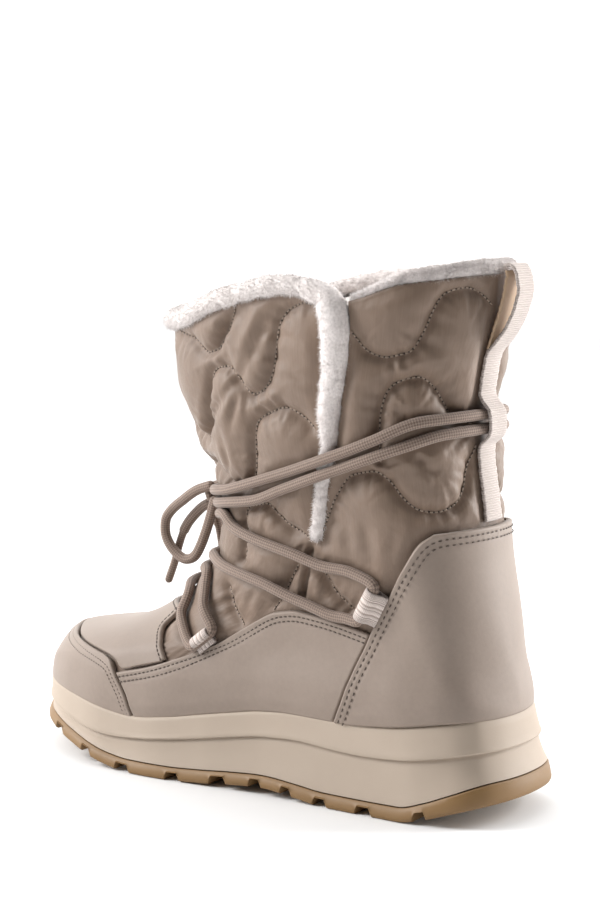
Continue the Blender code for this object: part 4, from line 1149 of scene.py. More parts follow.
# Stitched quilt lines on each side, as chart positions
QUILT_LINES = (
    (("v", "turn"), (
        (0.957, 2.040), (0.919, 2.143), (0.900, 2.294), (0.904, 2.433), (0.933, 2.512), (0.962, 2.560),
        (0.981, 2.627), (0.986, 2.760), (0.978, 2.905), (0.962, 3.020))),
    (("v", "turn"), (
        (0.735, 2.215), (0.792, 2.240), (0.826, 2.264), (0.852, 2.312), (0.862, 2.409), (0.864, 2.512),
        (0.847, 2.645), (0.819, 2.754), (0.795, 2.850), (0.785, 2.990))),
    (("v", "turn"), (
        (0.597, 1.701), (0.673, 1.828), (0.711, 1.967), (0.716, 2.143), (0.694, 2.270), (0.659, 2.355),
        (0.630, 2.488), (0.623, 2.627), (0.632, 2.766), (0.663, 2.887), (0.711, 2.954), (0.742, 3.027))),
    (("v", "turn"), (
        (0.998, 0.640), (0.976, 0.841), (0.952, 0.938), (0.943, 1.005), (0.943, 1.078), (0.964, 1.168),
        (0.993, 1.283))),
    (("v", "turn"), (
        (0.868, 0.000), (0.865, 0.180), (0.845, 0.360), (0.810, 0.520), (0.800, 0.700), (0.822, 0.830),
        (0.857, 0.908), (0.904, 0.993), (0.914, 1.065), (0.912, 1.162), (0.897, 1.229), (0.881, 1.271),
        (0.862, 1.344), (0.866, 1.416), (0.881, 1.483), (0.904, 1.519), (0.936, 1.550), (0.957, 1.568),
        (0.974, 1.616), (0.983, 1.671), (0.990, 1.737), (0.988, 1.786))),
    (("v", "turn"), (
        (0.998, 0.480), (0.958, 0.360), (0.938, 0.180), (0.932, 0.000))),
    (("v", "turn"), (
        (0.715, 0.000), (0.725, 0.220), (0.750, 0.400), (0.755, 0.620), (0.730, 0.820), (0.702, 0.980),
        (0.700, 1.110), (0.725, 1.205), (0.792, 1.289), (0.821, 1.344), (0.833, 1.459), (0.838, 1.568),
        (0.826, 1.665), (0.804, 1.762))),
    (("v", "turn"), (
        (0.540, 1.045), (0.563, 1.035), (0.642, 1.029), (0.656, 1.070), (0.663, 1.253), (0.640, 1.344),
        (0.609, 1.459), (0.587, 1.604))),
    (("v", "turn"), ((0.473, 0.987), (0.413, 1.168), (0.372, 1.332))),
    (("v", "turn"), ((0.520, 1.513), (0.473, 1.477), (0.413, 1.465))),
    (("v", "turn"), ((0.501, 1.713), (0.449, 1.822), (0.408, 1.943))),
)
# Seam below the slit
SLIT_SEAM = ("v", "turn"), ((0.580, 1.634), (0.546, 1.604), (0.489, 1.598), (0.403, 1.640))
# Creases listed one by one: chart positions of both ends, depth and half width in millimetres
CREASES = ("v0", "turn0", "v1", "turn1", "depth", "width"), (
    (0.988, 1.259, 0.943, 1.083, 1.3, 3.0),
    (0.979, 1.550, 0.895, 1.313, 1.2, 3.4),
    (0.881, 1.229, 0.783, 0.617, 1.2, 3.2),
    (0.874, 1.265, 0.814, 1.144, 0.9, 2.4),
    (0.893, 0.975, 0.802, 0.745, 0.9, 2.6),
    (0.955, 1.186, 0.916, 1.205, 0.6, 3.0),
    (0.857, 1.356, 0.835, 1.423, 0.7, 1.6),
    (0.859, 1.435, 0.840, 1.525, 0.6, 1.6),
    (0.862, 1.289, 0.838, 1.295, 0.6, 1.5),
    (0.897, 2.330, 0.866, 2.330, 0.9, 1.5),
    (0.816, 2.403, 0.785, 2.494, 1.6, 3.0),
    (0.749, 2.488, 0.716, 2.554, 1.4, 2.8),
    (0.716, 2.554, 0.697, 2.663, 0.8, 3.2),
    (0.766, 2.930, 0.742, 2.736, 0.9, 2.0),
    (0.912, 2.567, 0.881, 2.990, 0.5, 4.0),
    (0.885, 1.640, 0.876, 1.762, 0.5, 2.4),
    (0.795, 1.029, 0.738, 1.011, 0.8, 2.4),
    (0.623, 1.883, 0.530, 1.919, 0.5, 3.4),
    (0.632, 2.040, 0.527, 2.064, 0.5, 3.6),
    (0.594, 2.288, 0.515, 2.221, 0.6, 3.2),
    (0.630, 1.235, 0.570, 1.289, 0.7, 2.8),
    (0.477, 1.265, 0.403, 1.295, 0.6, 2.6),
    (0.532, 1.762, 0.434, 1.749, 0.6, 2.4),
)
SEAM_DEPTH = 3.5
SEAM_LIP = 2.2
PUFF = 3.6
PUFF_REACH = 8.5


def chart_curve(table, side, step=1.0):
    """Even chart positions along a line of the chart."""
    c = columns(table)
    row = np.arange(len(c["v"]))
    at = np.linspace(0, len(row) - 1, (len(row) - 1) * 10 + 1)
    v = curve(row, c["v"], at)
    turn = curve(row, c["turn"], at)
    reach = lengths(on_upper(v, turn, side, 0 * v))
    want = np.linspace(0, reach[-1], max(3, int(reach[-1] / step) + 1))
    return np.interp(want, reach, v), np.interp(want, reach, turn)


def side_edge_line():
    """Chart line along the leather's top edge: throat of the vamp, side panel, counter."""
    turn_a = np.linspace(0.0, VAMP_END, 60)
    v_a = curve(VAMPS["turn"], VAMPS["high"], turn_a)
    turn_b = np.linspace(VAMP_END, 2.135, 60)
    v_b = curve(SIDE_TOP["turn"], SIDE_TOP["v"], turn_b)
    v_c = np.linspace(0.341, COUNTER_TOP, 50)
    turn_c = curve(COUNTERS["v"], COUNTERS["turn"], v_c)
    turn_d = np.linspace(2.56, math.pi, 30)
    v_d = 0 * turn_d + COUNTER_TOP
    return np.concatenate([v_a, v_b, v_c, v_d]), np.concatenate([turn_a, turn_b, turn_c, turn_d])


def edge_lines(side):
    """Points in space along every edge that holds the cloth down: leather, slit, collar and back tape."""
    v = np.linspace(SLIT_FOOT, 1.0, 120)
    first, second = slit_turns(v)
    turn = np.linspace(0.0, math.pi, 240)
    tape_v = np.linspace(COUNTER_TOP, 1.0, 150)
    tape_turn = math.pi - 6.8 / 60.0 + 0 * tape_v
    leather_v, leather_turn = side_edge_line()
    lines = [(leather_v, leather_turn), (v, first), (v, second), (0 * turn + 1.0, turn), (tape_v, tape_turn)]
    return np.concatenate([on_upper(a, b, side, 0 * a) for a, b in lines])


def covered(v, turn):
    """True where leather lies over the cloth."""
    throat = curve(VAMPS["turn"], VAMPS["high"], turn)
    low = np.where(turn < VAMP_END, throat, curve(SIDE_TOP["turn"], SIDE_TOP["v"], turn))
    back = (turn > curve(COUNTERS["v"], COUNTERS["turn"], v)) & (v < COUNTER_TOP)
    return (v < low) | back | (turn > math.pi - TAPE_HALF / 60.0)


def cloth_height(v, turn, side):
    """Height of the quilted cloth over the upper's plain face. It is sunk on the stitch lines, rises steeply
    beside them and then as a soft pillow, each as 1 - exp(-(distance / reach) ^ power). Small puckers run
    square to the stitches, creases are soft troughs, and the hollow under every lace follows the square of
    the distance."""
    base = on_upper(v, turn, side, 0 * v)
    normal = upper_normal(v, turn, side + 0 * v)
    charted = [chart_curve(line, side) for line in (*QUILT_LINES, SLIT_SEAM)]
    seams = [on_upper(a, b, side, 0 * a) for a, b in charted]
    along = np.concatenate([np.arange(len(line)) + 37.0 * k for k, line in enumerate(seams)])
    gap, which = nearest(base, np.concatenate(seams))
    at = along[which]
    pillow = SEAM_LIP * (1 - np.exp(-(gap / 2.2) ** 2)) + PUFF * (1 - np.exp(-(gap / PUFF_REACH) ** 1.5))
    height = pillow - SEAM_DEPTH
    ripple = np.sin(at * 0.93 + 1.9 * np.sin(at * 0.21)) + 0.6 * np.sin(at * 0.57 + 2.0)
    height = height + 0.80 * ripple * np.exp(-gap / 5.0) * (1 - np.exp(-gap / 1.5))
    welt, _ = nearest(base, seams[-1])
    height = height + 1.6 * np.exp(-((welt - 2.3) / 1.1) ** 2) - 0.8 * np.exp(-(welt / 0.9) ** 2)
    x, y, z = base[:, 0], base[:, 1], base[:, 2]
    height = height + 0.35 * np.sin(0.11 * y + 0.17 * z + 1.3 * side) * np.sin(0.13 * z - 0.07 * y + 0.05 * x)
    c = columns(CREASES)
    part = np.linspace(0, 1, 14)
    for v0, t0, v1, t1, deep, wide in zip(*(c[k] for k in ("v0", "turn0", "v1", "turn1", "depth", "width"))):
        line = on_upper(v0 + (v1 - v0) * part, t0 + (t1 - t0) * part, side, 0 * part)
        far, nearest_part = nearest(base, line)
        taper = 1.5 * np.sin(math.pi * np.clip(part[nearest_part], 0.12, 0.88))
        wide = 0.8 * wide
        lip = 0.35 * np.exp(-((far - 2.2 * wide) / wide) ** 2)
        height = height - deep * taper * (np.exp(-(far / wide) ** 2) - lip)
    edge, _ = nearest(base, edge_lines(side))
    height = height - (height + 0.7) * np.exp(-(edge / 4.5) ** 2)
    _, which = nearest(base, LACE_LINE)
    away = base - LACE_LINE[which]
    over = -(away * normal).sum(1)
    beside = np.linalg.norm(away + normal * over[:, None], axis=1)
    limit = over - 2.65 + 0.045 * beside ** 2
    height = np.where(over > 0, -0.25 * np.logaddexp(-height / 0.25, -np.maximum(limit, -3.0) / 0.25), height)
    return np.where(covered(v, turn), np.minimum(height, -0.5), height)


def shaft_grid(v, front, rear):
    """Chart grid round the boot: front and rear columns on each side of the slit and three cells across it.
    Gives v, turn and side of each place and which cells stay when the slits are left out."""
    first, second = (t[:, None] for t in slit_turns(v))
    one = np.concatenate([
        first * np.linspace(0, 1, front + 1),
        first + (second - first) * np.array([1 / 3, 2 / 3]),
        second + (math.pi - second) * np.linspace(0, 1, rear + 1),
    ], 1)
    turn = np.concatenate([one, one[:, 1:-1][:, ::-1]], 1)
    side = np.concatenate([np.ones(one.shape[1]), -np.ones(one.shape[1] - 2)])
    total = len(side)
    keep = np.ones((len(v) - 1, total), bool)
    open_rows = np.where(v[:-1] >= SLIT_FOOT)[0]
    for col in (front, front + 1, front + 2):
        keep[open_rows, col] = False
        keep[open_rows, total - 1 - col] = False
    return np.repeat(v[:, None], total, 1), turn, np.repeat(side[None], len(v), 0), keep


def shaft_uv(v, turn, side):
    """Millimetre UVs round and up the shaft, with one more column for the seam."""
    round_about = np.where(side > 0, turn, 2 * math.pi - turn)
    u = 45.0 * np.concatenate([round_about, np.full((len(v), 1), 2 * math.pi)], 1)
    return u, 225.0 * np.concatenate([v, v[:, :1]], 1)


def quilted_upper():
    """Cloth over the whole upper with both slits left out, moved out by cloth_height.
    Its last rows turn in over the collar's edge."""
    rows = np.concatenate([np.linspace(0.03, 0.30, 15)[:-1], np.linspace(0.30, 1.0, 186)])
    v, turn, side, keep = shaft_grid(rows, 120, 84)
    grid = on_upper(v, turn, side, 0 * v)
    normal = upper_normal(v, turn, side)
    for sign in (1.0, -1.0):
        here = side == sign
        grid[here] += normal[here] * cloth_height(v[here], turn[here], sign)[:, None]
    hem = np.stack([grid[-1] - normal[-1] * 1.2 + np.array([0, 0, 0.4]), grid[-1] - normal[-1] * 5.0])
    grid = np.concatenate([grid, hem])
    keep = np.concatenate([keep, keep[-1:], keep[-1:]])
    u, up = shaft_uv(v, turn, side)
    u = np.concatenate([u, u[-1:], u[-1:]])
    up = np.concatenate([up, up[-1:] + 1.2, up[-1:] + 2.4])
    return sheet_piece("quilted_upper", grid, [CLOTH], u, up, True, keep)


def fleece_lining():
    """Fleece wall on the inside of the cloth, 1.2 mm thick, closed behind the slits."""
    rows = np.concatenate([np.linspace(0.03, 0.30, 12)[:-1], np.linspace(0.30, 0.995, 50)])
    v, turn, side, _ = shaft_grid(rows, 36, 26)
    u, up = shaft_uv(v, turn, side)
    grid = on_upper(v, turn, side, -5.6 + 0.25 * np.sin(9 * turn + 30 * v) * np.sin(40 * v - 5 * turn))
    return walled(sheet_piece("fleece_lining", grid, [FLEECE], u, up, True), 1.2)


upper = seat(quilted_upper(), "quilted_cloth", "upper")
seat(fleece_lining(), "pale_fur")


# Leather overlays

def eased(count, pull=0.86):
    """Numbers from 0 to 1, closer together at both ends."""
    t = np.linspace(0, 1, count)
    return (1 - pull) * t + pull * (0.5 - 0.5 * np.cos(math.pi * t))


def border(grid):
    """Millimetres from each grid point to the nearest edge, along rows and columns."""
    across = np.cumsum(np.linalg.norm(np.diff(grid, axis=1, prepend=grid[:, :1]), axis=2), 1)
    along = np.cumsum(np.linalg.norm(np.diff(grid, axis=0, prepend=grid[:1]), axis=2), 0)
    return np.minimum.reduce([across, across[:, -1:] - across, along, along[-1:] - along])


def beside_line(v, turn, side, aside):
    """Chart line that runs aside millimetres beside another one, on the upper's face."""
    e = 1e-3
    by_v = (upper_point(v + e, turn, side) - upper_point(v - e, turn, side)) / (2 * e)
    by_turn = (upper_point(v, turn + e, side) - upper_point(v, turn - e, side)) / (2 * e)
    ahead = unit(np.gradient(upper_point(v, turn, side), axis=0))
    out = upper_normal(v, turn, side + 0 * v)
    shift = np.cross(out, ahead) * aside
    a = (by_v * by_v).sum(1)
    b = (by_v * by_turn).sum(1)
    c = (by_turn * by_turn).sum(1)
    p = (shift * by_v).sum(1)
    q = (shift * by_turn).sum(1)
    det = a * c - b * b
    return v + (c * p - b * q) / det, turn + (a * q - b * p) / det


SEAMS = {"leather": [], "cap": [], "quilt": []}


def stitch_row(kind, v, turn, side, lift, pitch):
    """Notes the place, direction and outward side of each stitch along a chart line."""
    line = on_upper(v, turn, side, lift + 0 * v)
    out = upper_normal(v, turn, side + 0 * v)
    both = evenly(np.concatenate([line, out], 1), step=pitch)
    ahead = unit(np.gradient(both[:, :3], axis=0))
    SEAMS[kind].append(np.concatenate([both[:, :3], ahead, unit(both[:, 3:])], 1))
    return line


def leather_piece(name, v, turn, side, thick, rows_of_stitches, proud=0.0, furrow=0.24):
    """Leather over a chart grid: full thickness inside, rounded off to nothing over the last 1.3 mm,
    a shallow furrow along each row of stitches, and proud where its edge lies on its neighbour."""
    plain = on_upper(v, turn, side, 0 * v)
    edge = border(plain)
    full = np.sqrt(1 - (1 - np.clip(edge / 1.3, 0, 1)) ** 2)
    lift = 0.30 + (PANEL_LIFT - 0.30 + thick + proud * np.exp(-(edge / 8.0) ** 2)) * full
    if rows_of_stitches:
        far, _ = nearest(plain.reshape(-1, 3), np.concatenate(rows_of_stitches))
        lift = lift - furrow * np.exp(-(far.reshape(lift.shape) / 0.9) ** 2) * full
    y, z = plain[..., 1], plain[..., 2]
    lift = lift + 0.18 * np.sin(0.09 * y + 0.5) * np.sin(0.12 * z) * full
    piece = sheet_piece(name, on_upper(v, turn, side, lift), [LEATHER])
    return walled(piece, 0.7)


RIM_V = 0.050


def both_sides(turns):
    """Columns that run through the middle line: turns of one side, then the other side's."""
    sides = np.concatenate([np.ones(turns.shape[1]), -np.ones(turns.shape[1] - 1)])
    return np.concatenate([turns, turns[:, :-1][:, ::-1]], 1), np.repeat(sides[None], len(turns), 0)


def double_row(line_of, sign_of, first, second, lift, pitch, kind="leather"):
    """Two rows of stitches beside an edge on both sides of the boot."""
    rows = []
    for side in (1.0, -1.0):
        v, turn = line_of()
        for aside in (first, second):
            a, b = softened(np.stack(beside_line(v, turn, side, aside * sign_of * side), 1), 30, False).T
            stitch_row(kind, a, b, side, lift, pitch)
            rows.append(on_upper(a, b, side, 0 * a))
    return rows


def counter_edge():
    """Front edge of the counter from the rim up, then its top edge to the back."""
    v = np.concatenate([np.linspace(0.075, 0.55, 90), np.linspace(0.553, COUNTER_TOP, 12)])
    turn = curve(COUNTERS["v"], COUNTERS["turn"], v)
    top = np.linspace(2.58, math.pi - 0.03, 32)
    return np.concatenate([v, 0 * top + COUNTER_TOP]), np.concatenate([turn, top])


def cap_edge():
    """Rear edge of the cap from the rim up, then its top edge to the middle."""
    v = np.linspace(0.075, 0.204, 50)
    turn = curve(CAPS["v"], CAPS["turn"], v)
    top = np.linspace(0.90, 0.03, 40)
    return np.concatenate([v, 0 * top + CAP_TOP]), np.concatenate([turn, top])


def panel_edge():
    """Top edge of the side panel, front to back."""
    turn = np.linspace(1.06, 2.10, 120)
    return curve(SIDE_TOP["turn"], SIDE_TOP["v"], turn), turn


def throat_edge():
    """Upper edge of the vamp, from the middle to the side panel."""
    turn = np.linspace(0.03, 1.20, 90)
    v = curve(VAMPS["turn"], VAMPS["high"], turn)
    bare = v > curve(SIDE_TOP["turn"], SIDE_TOP["v"], turn) + 0.016
    return v[bare], turn[bare]


def heel_counter():
    """Rows from the rim to the top edge, each from one front edge round the back to the other."""
    rows = double_row(counter_edge, -1.0, 2.7, 5.3, PANEL_LIFT + COUNTER_THICK + 0.45, 3.1)
    v = RIM_V + (COUNTER_TOP - RIM_V) * eased(56)
    first = curve(COUNTERS["v"], COUNTERS["turn"], v)[:, None]
    part = eased(150)[:75] * 2
    turn, side = both_sides(first + (math.pi - first) * np.append(part, 1.0))
    return leather_piece("heel_counter_leather", np.repeat(v[:, None], turn.shape[1], 1), turn, side,
                         COUNTER_THICK, rows, 0.55)


def toe_cap():
    """Rows from the rim up, each from side to side over the toe."""
    rows = double_row(cap_edge, 1.0, 2.3, 4.5, PANEL_LIFT + PANEL_THICK + 0.25, 2.0, "cap")
    v = RIM_V + (CAP_TOP - RIM_V) * eased(44)
    last = curve(CAPS["v"], CAPS["turn"], v)[:, None]
    part = 1 - eased(150)[:75] * 2
    turn, side = both_sides(last * np.append(part, 0.0))
    turn, side = turn[:, ::-1], side[:, ::-1]
    return leather_piece("toe_cap_leather", np.repeat(v[:, None], turn.shape[1], 1), turn, side,
                         PANEL_THICK, rows, 0.5, 0.08)


def vamp():
    """Columns across the foot, each from the cap's edge to the throat."""
    rows = []
    for side in (1.0, -1.0):
        v, turn = throat_edge()
        a, b = beside_line(v, turn, side, -2.3 * side)
        rows.append(stitch_row("leather", a, b, side, PANEL_LIFT + PANEL_THICK + 0.1, 2.3))
    part = VAMP_END * (1 - eased(130)[:65] * 2)
    turn, side = both_sides(np.append(part, 0.0)[None])
    turn, side = turn[:, ::-1], side[:, ::-1]
    low = curve(VAMPS["turn"], VAMPS["low"], turn)
    high = curve(VAMPS["turn"], VAMPS["high"], turn)
    v = low + (high - low) * eased(50)[:, None]
    return leather_piece("vamp_leather", v, np.repeat(turn, 50, 0), np.repeat(side, 50, 0), PANEL_THICK, rows)


def edge_turn(edge, v):
    """Turn of the cap's or the counter's edge at this height."""
    return curve(edge["v"], edge["turn"], v)


def meeting(edge):
    """Height at which the cap's or the counter's edge meets the top edge of the side panel."""
    v = np.linspace(0.06, 0.50, 2000)
    over = v - curve(SIDE_TOP["turn"], SIDE_TOP["v"], edge_turn(edge, v))
    return v[np.argmax(over > 0)]


def side_panel(name, sign, rows):
    """Columns along the foot, each from the rim to the top edge; the end ones follow cap and counter."""
    across = eased(130)
    low = [edge_turn(edge, RIM_V + np.zeros(1)) for edge in (CAPS, COUNTERS)]
    high = [edge_turn(edge, meeting(edge) + np.zeros(1)) for edge in (CAPS, COUNTERS)]
    low_turn = low[0] + (low[1] - low[0]) * across
    top_turn = high[0] + (high[1] - high[0]) * across
    part = eased(50)[:, None]
    v = RIM_V + (curve(SIDE_TOP["turn"], SIDE_TOP["v"], top_turn) - RIM_V) * part
    straight = low_turn + (top_turn - low_turn) * part
    front = edge_turn(CAPS, v[:, :1]) - straight[:, :1]
    back = edge_turn(COUNTERS, v[:, -1:]) - straight[:, -1:]
    turn = straight + front * (1 - across) ** 3 + back * across ** 3
    if sign < 0:
        v, turn = v[:, ::-1], turn[:, ::-1]
    return leather_piece(name, v, turn, sign + 0 * v, PANEL_THICK, rows)


seat(heel_counter(), "greige_leather", "heel_counter")
seat(toe_cap(), "greige_leather", "toe_cap")
seat(vamp(), "greige_leather", "vamp")
panel_rows = double_row(panel_edge, -1.0, 2.3, 4.5, PANEL_LIFT + PANEL_THICK - 0.05, 2.45)
seat(side_panel("side_panel_leather_outer", 1.0, panel_rows), "greige_leather", "side_panel_outer")
seat(side_panel("side_panel_leather_inner", -1.0, panel_rows), "greige_leather", "side_panel_inner")


# Stitches

for stitch_side in (1.0, -1.0):
    for quilt_line in QUILT_LINES:
        line_v, line_turn = chart_curve(quilt_line, stitch_side)
        sunk = cloth_height(line_v, line_turn, stitch_side)
        stitch_row("quilt", line_v, line_turn, stitch_side, sunk + 0.28, 2.15)


def sewn(name, rows, long, wide, high, mat, between=False):
    """A bead of thread, or of shade in the needle holes between, at every place of the rows."""
    places = np.concatenate(rows)
    if between:
        places = np.concatenate([(row[1:] + row[:-1]) / 2 for row in rows])
    shape, faces = bead(long, wide, high)
    piece = copies(name, shape, faces, places[:, :3], unit(places[:, 3:6]), unit(places[:, 6:9]), [mat])
    return seat(piece, "taupe_lace")


sewn("leather_stitches", SEAMS["leather"], 0.95, 0.36, 0.30, DARK_THREAD)
sewn("cap_stitches", SEAMS["cap"], 0.62, 0.32, 0.26, CAP_THREAD)
sewn("quilt_stitches", SEAMS["quilt"], 0.80, 0.42, 0.42, PALE_THREAD)
# Painted shade: dark beads in the needle holes between the quilt stitches
sewn("quilt_hole_shade", SEAMS["quilt"], 0.42, 0.46, 0.26, HOLE_SHADE, True)


# Webbing

def strip_piece(name, line, half, thick, mats, cup=None):
    """Flat strip that follows a line in the middle plane, +x edge first, with slightly uneven edges;
    cup bends its edges towards the boot."""
    along = lengths(line)
    ahead = unit(np.gradient(line, axis=0))
    out = np.stack([0 * along, ahead[:, 2], -ahead[:, 1]], 1)
    across = np.linspace(1, -1, 15)
    wide = half + 0.22 * np.sin(along * 2.1) + 0.12 * np.sin(along * 0.7)
    grid = line[:, None] + np.zeros((1, 15, 1))
    grid[..., 0] += wide[:, None] * across
    if cup is not None:
        grid -= out[:, None] * (cup[:, None] * across ** 2)[..., None]
    u = half * np.repeat(across[None], len(line), 0)
    v = np.repeat(along[:, None], 15, 1)
    return walled(sheet_piece(name, grid, mats, u, v), thick)


def back_tape():
    """Tape from the counter up to the pull loop and over its top."""
    v = np.linspace(TAPES["v"][0], TAPES["v"][-1], 150)
    lift = curve(TAPES["v"], TAPES["lift"], v)
    top = np.stack([0 * LOOP_TOPS["y"], LOOP_TOPS["y"], LOOP_TOPS["z"]], 1)
    line = np.concatenate([middle_line(v, lift + WEB_THICK), top + np.array([0.0, 0.7, 0.9])])
    line = np.concatenate([line, [[0.0, 120.9, 236.4]]])
    line = softened(evenly(line, step=0.8), 6, False)
    stand = np.interp(lengths(line), lengths(middle_line(v, lift)), lift)
    pinch = 0.75 * np.clip((2.4 - stand) / 1.6, 0, 1)
    return strip_piece("back_tape_web", line, TAPE_HALF, 1.2, [WEB], pinch)


def pull_backing():
    """Tan leather on the inner side of the pull loop."""
    v = np.linspace(BACKINGS["v"][0], BACKINGS["v"][-1], 40)
    line = middle_line(v, 0.75 * curve(BACKINGS["v"], BACKINGS["lift"], v) + 1.0)
    line = np.concatenate([line, line[-1] + np.array([[0.0, -0.1, 1.3], [0.0, -0.2, 2.6]])])
    return strip_piece("pull_loop_lining", evenly(line, step=0.8), TAPE_HALF - 0.4, 1.0, [TAN])


def lace_loop(name, row, side):
    """Folded band: from the sewn end along the boot, round the eye and back over itself to the sewn end."""
    sewn, ahead, out, _, length = loop_frame(row, side)
    mid = EYE + WEB_THICK / 2
    angle = np.radians(np.linspace(-90, 125, 40))
    centre = length - EYE - WEB_THICK
    round_eye = np.stack([centre + mid * np.cos(angle), EYE + WEB_THICK + mid * np.sin(angle)], 1)
    flat = np.array([[-1.0, 0.65], [0.0, 0.65], [centre * 0.6, 0.65]])
    back = np.array([[1.6, 3.4], [-1.6, 1.9]])
    plan = softened(evenly(np.concatenate([flat, round_eye, back]), step=0.4), 6, False)
    path = sewn + plan[:, :1] * ahead + plan[:, 1:] * out
    run = np.gradient(plan, axis=0)
    face = run[:, 1:] * ahead - run[:, :1] * out
    half = LOOP["width"][row] / 2
    points, faces, uv = tube_parts(path, unit(face), half, 0.62, 28, False, 0.45)
    uv = uv * np.array([2 * (2 * half + 1.3), 1.0])
    last = (len(path) - 1) * 28
    ends = [np.arange(28)[::-1][None], (np.arange(28) + last)[None]]
    blank = np.zeros((1, 28, 2))
    return mesh_piece(name, points, [faces, *ends], [LOOP_WEB], [uv, blank, blank])


seat(back_tape(), "cream_webbing", "back_tape")
seat(pull_backing(), "tan_leather", "pull_backing")
seat(lace_loop("upper_loop_outer", 0, 1.0), "cream_webbing", "upper_lace_loop_outer")
seat(lace_loop("upper_loop_inner", 0, -1.0), "cream_webbing", "upper_lace_loop_inner")
seat(lace_loop("lower_loop_outer", 1, 1.0), "cream_webbing", "lower_lace_loop_outer")
seat(lace_loop("lower_loop_inner", 1, -1.0), "cream_webbing", "lower_lace_loop_inner")


# Fur

def rim_point(turn, side, above, inside):
    """Point over the collar's edge, some millimetres inside the outer face."""
    point = skin(1.0 + 0 * turn, turn, side, -inside + 0 * turn)
    point[:, 2] += collar_rise(1.0, turn) + above
    return point


def fur_piece(name, path, normals, radius, count, long, seed):
    """Roll of pile under many short tapering hairs. The hairs start all round the roll from a seeded draw,
    lean a little along it in soft locks and hang slightly, and keep clear of the laces."""
    ahead = unit(np.gradient(path, axis=0))
    up = unit(normals - ahead * (normals * ahead).sum(1)[:, None])
    across = np.cross(ahead, up)
    body = radius * (0.93 + 0.035 * np.sin(0.55 * lengths(path)) + 0.03 * np.sin(0.23 * lengths(path) + 1.0))
    roll_points, roll_faces, _ = tube_parts(path, normals, body, body, 16, False)
    draw = np.random.default_rng(seed)
    at = draw.integers(0, len(path), count)
    angle = draw.uniform(0, 2 * math.pi, count)
    out = np.cos(angle)[:, None] * up[at] + np.sin(angle)[:, None] * across[at]
    root = path[at] + ahead[at] * draw.uniform(-0.5, 0.5, (count, 1)) + out * (0.92 * body[at])[:, None]
    lock = np.sin(0.9 * root[:, 0] + 1.1 * root[:, 1]) + np.sin(1.3 * root[:, 2] - 0.8 * root[:, 1])
    lean = 0.75 * out + ahead[at] * (0.30 * lock - 0.35 + draw.normal(0, 0.25, count))[:, None]
    lean = unit(lean + draw.normal(0, 0.20, (count, 3)) + np.array([0.0, 0.0, -0.22]))
    reach = long * (0.55 + 0.60 * draw.random(count))
    tip = root + lean * reach[:, None]
    far, _ = nearest((root + tip) / 2, LACE_LINE)
    clear = far > 3.3
    root, tip, lean = root[clear], tip[clear], lean[clear]
    side_a = unit(np.cross(lean, np.array([0.31, 0.52, 0.79])))
    side_b = np.cross(lean, side_a)
    turn = np.radians(np.array([0, 120, 240]))
    ring = np.cos(turn)[None, :, None] * side_a[:, None] + np.sin(turn)[None, :, None] * side_b[:, None]
    foot = root[:, None] + 0.12 * ring
    hairs = np.concatenate([foot, tip[:, None], foot], 1)
    start = (len(roll_points) + 7 * np.arange(len(root)))[:, None, None]
    walls = np.array([[0, 1, 3], [1, 2, 3], [2, 0, 3], [6, 5, 4]])
    ends = [np.arange(16)[::-1][None], (np.arange(16) + len(roll_points) - 16)[None]]
    faces = [roll_faces, *ends, (walls + start).reshape(-1, 3)]
    points = np.concatenate([roll_points, hairs.reshape(-1, 3)])
    return mesh_piece(name, points, faces, [FUR, HAIR], None, [0, 0, 0, 1])


def two_sided(route, count_mid):
    """Line over both sides: route(side) from its outer end to the middle, then the inner side's back."""
    one, one_n, radius = route(1.0)
    two, two_n, _ = route(-1.0)
    line = np.concatenate([one, two[:-1][::-1]])
    normal = np.concatenate([one_n, two_n[:-1][::-1]])
    reach = np.concatenate([radius, radius[:-1][::-1]])
    every = evenly(np.concatenate([line, normal, reach[:, None]], 1), step=1.0)
    every = softened(every, count_mid, False)
    return every[:, :3], unit(every[:, 3:6]), every[:, 6]


def front_route(side):
    """Up the slit, over its top and round the front collar to the middle."""
    v = np.linspace(SLIT_FOOT - 0.002, 0.985, 44)
    turn = curve(SLITS["v"], SLITS["turn"], v)
    radius = curve(SLITS["v"], SLITS["width"], v) / 2 + 0.1
    start = np.clip((v - v[0]) / 0.022, 0.0, 1.0)
    radius = radius * (0.30 + 0.70 * np.sqrt(1 - (1 - start) ** 2))
    sink = np.interp(v, [0.60, 0.78, 0.88, 1.0], [-1.1, -1.1, -0.3, -0.3])
    slit = on_upper(v, turn, side, sink)
    slit_n = upper_normal(v, turn, side + 0 * v)
    edge = slit_turns(np.array(1.0))[0]
    turn = np.concatenate([[edge + 0.06, edge - 0.02], np.linspace(edge - 0.10, 0.0, 40)])
    above = np.concatenate([[2.0, 2.6], np.full(40, FUR_RADIUS - 0.8)])
    rim = rim_point(turn, side, above, 0.6)
    rim_n = upper_normal(1.0 + 0 * turn, turn, side + 0 * turn)
    rim_r = np.concatenate([[5.6, 5.2], np.full(40, FUR_RADIUS)])
    return np.concatenate([slit, rim]), np.concatenate([slit_n, rim_n]), np.concatenate([radius, rim_r])


def rear_route(side):
    """From the slit round the rear collar to the middle of the back."""
    start = slit_turns(np.array(1.0))[1] + 0.02
    turn = start + (math.pi - start) * np.linspace(0, 1, 40)
    rim = rim_point(turn, side, np.interp(np.arange(40), [0, 12], [0.4, 2.3]), 4.0)
    rim_n = upper_normal(1.0 + 0 * turn, turn, side + 0 * turn)
    return rim, rim_n, 3.7 * np.minimum(1.0, 0.45 + 0.55 * np.arange(40) / 18.0)


seat(fur_piece("front_fur", *two_sided(front_route, 4), 40000, 2.2, 11), "pale_fur", "fur_front")
seat(fur_piece("rear_fur", *two_sided(rear_route, 2), 20000, 2.2, 12), "pale_fur", "fur_rear")


# Sole

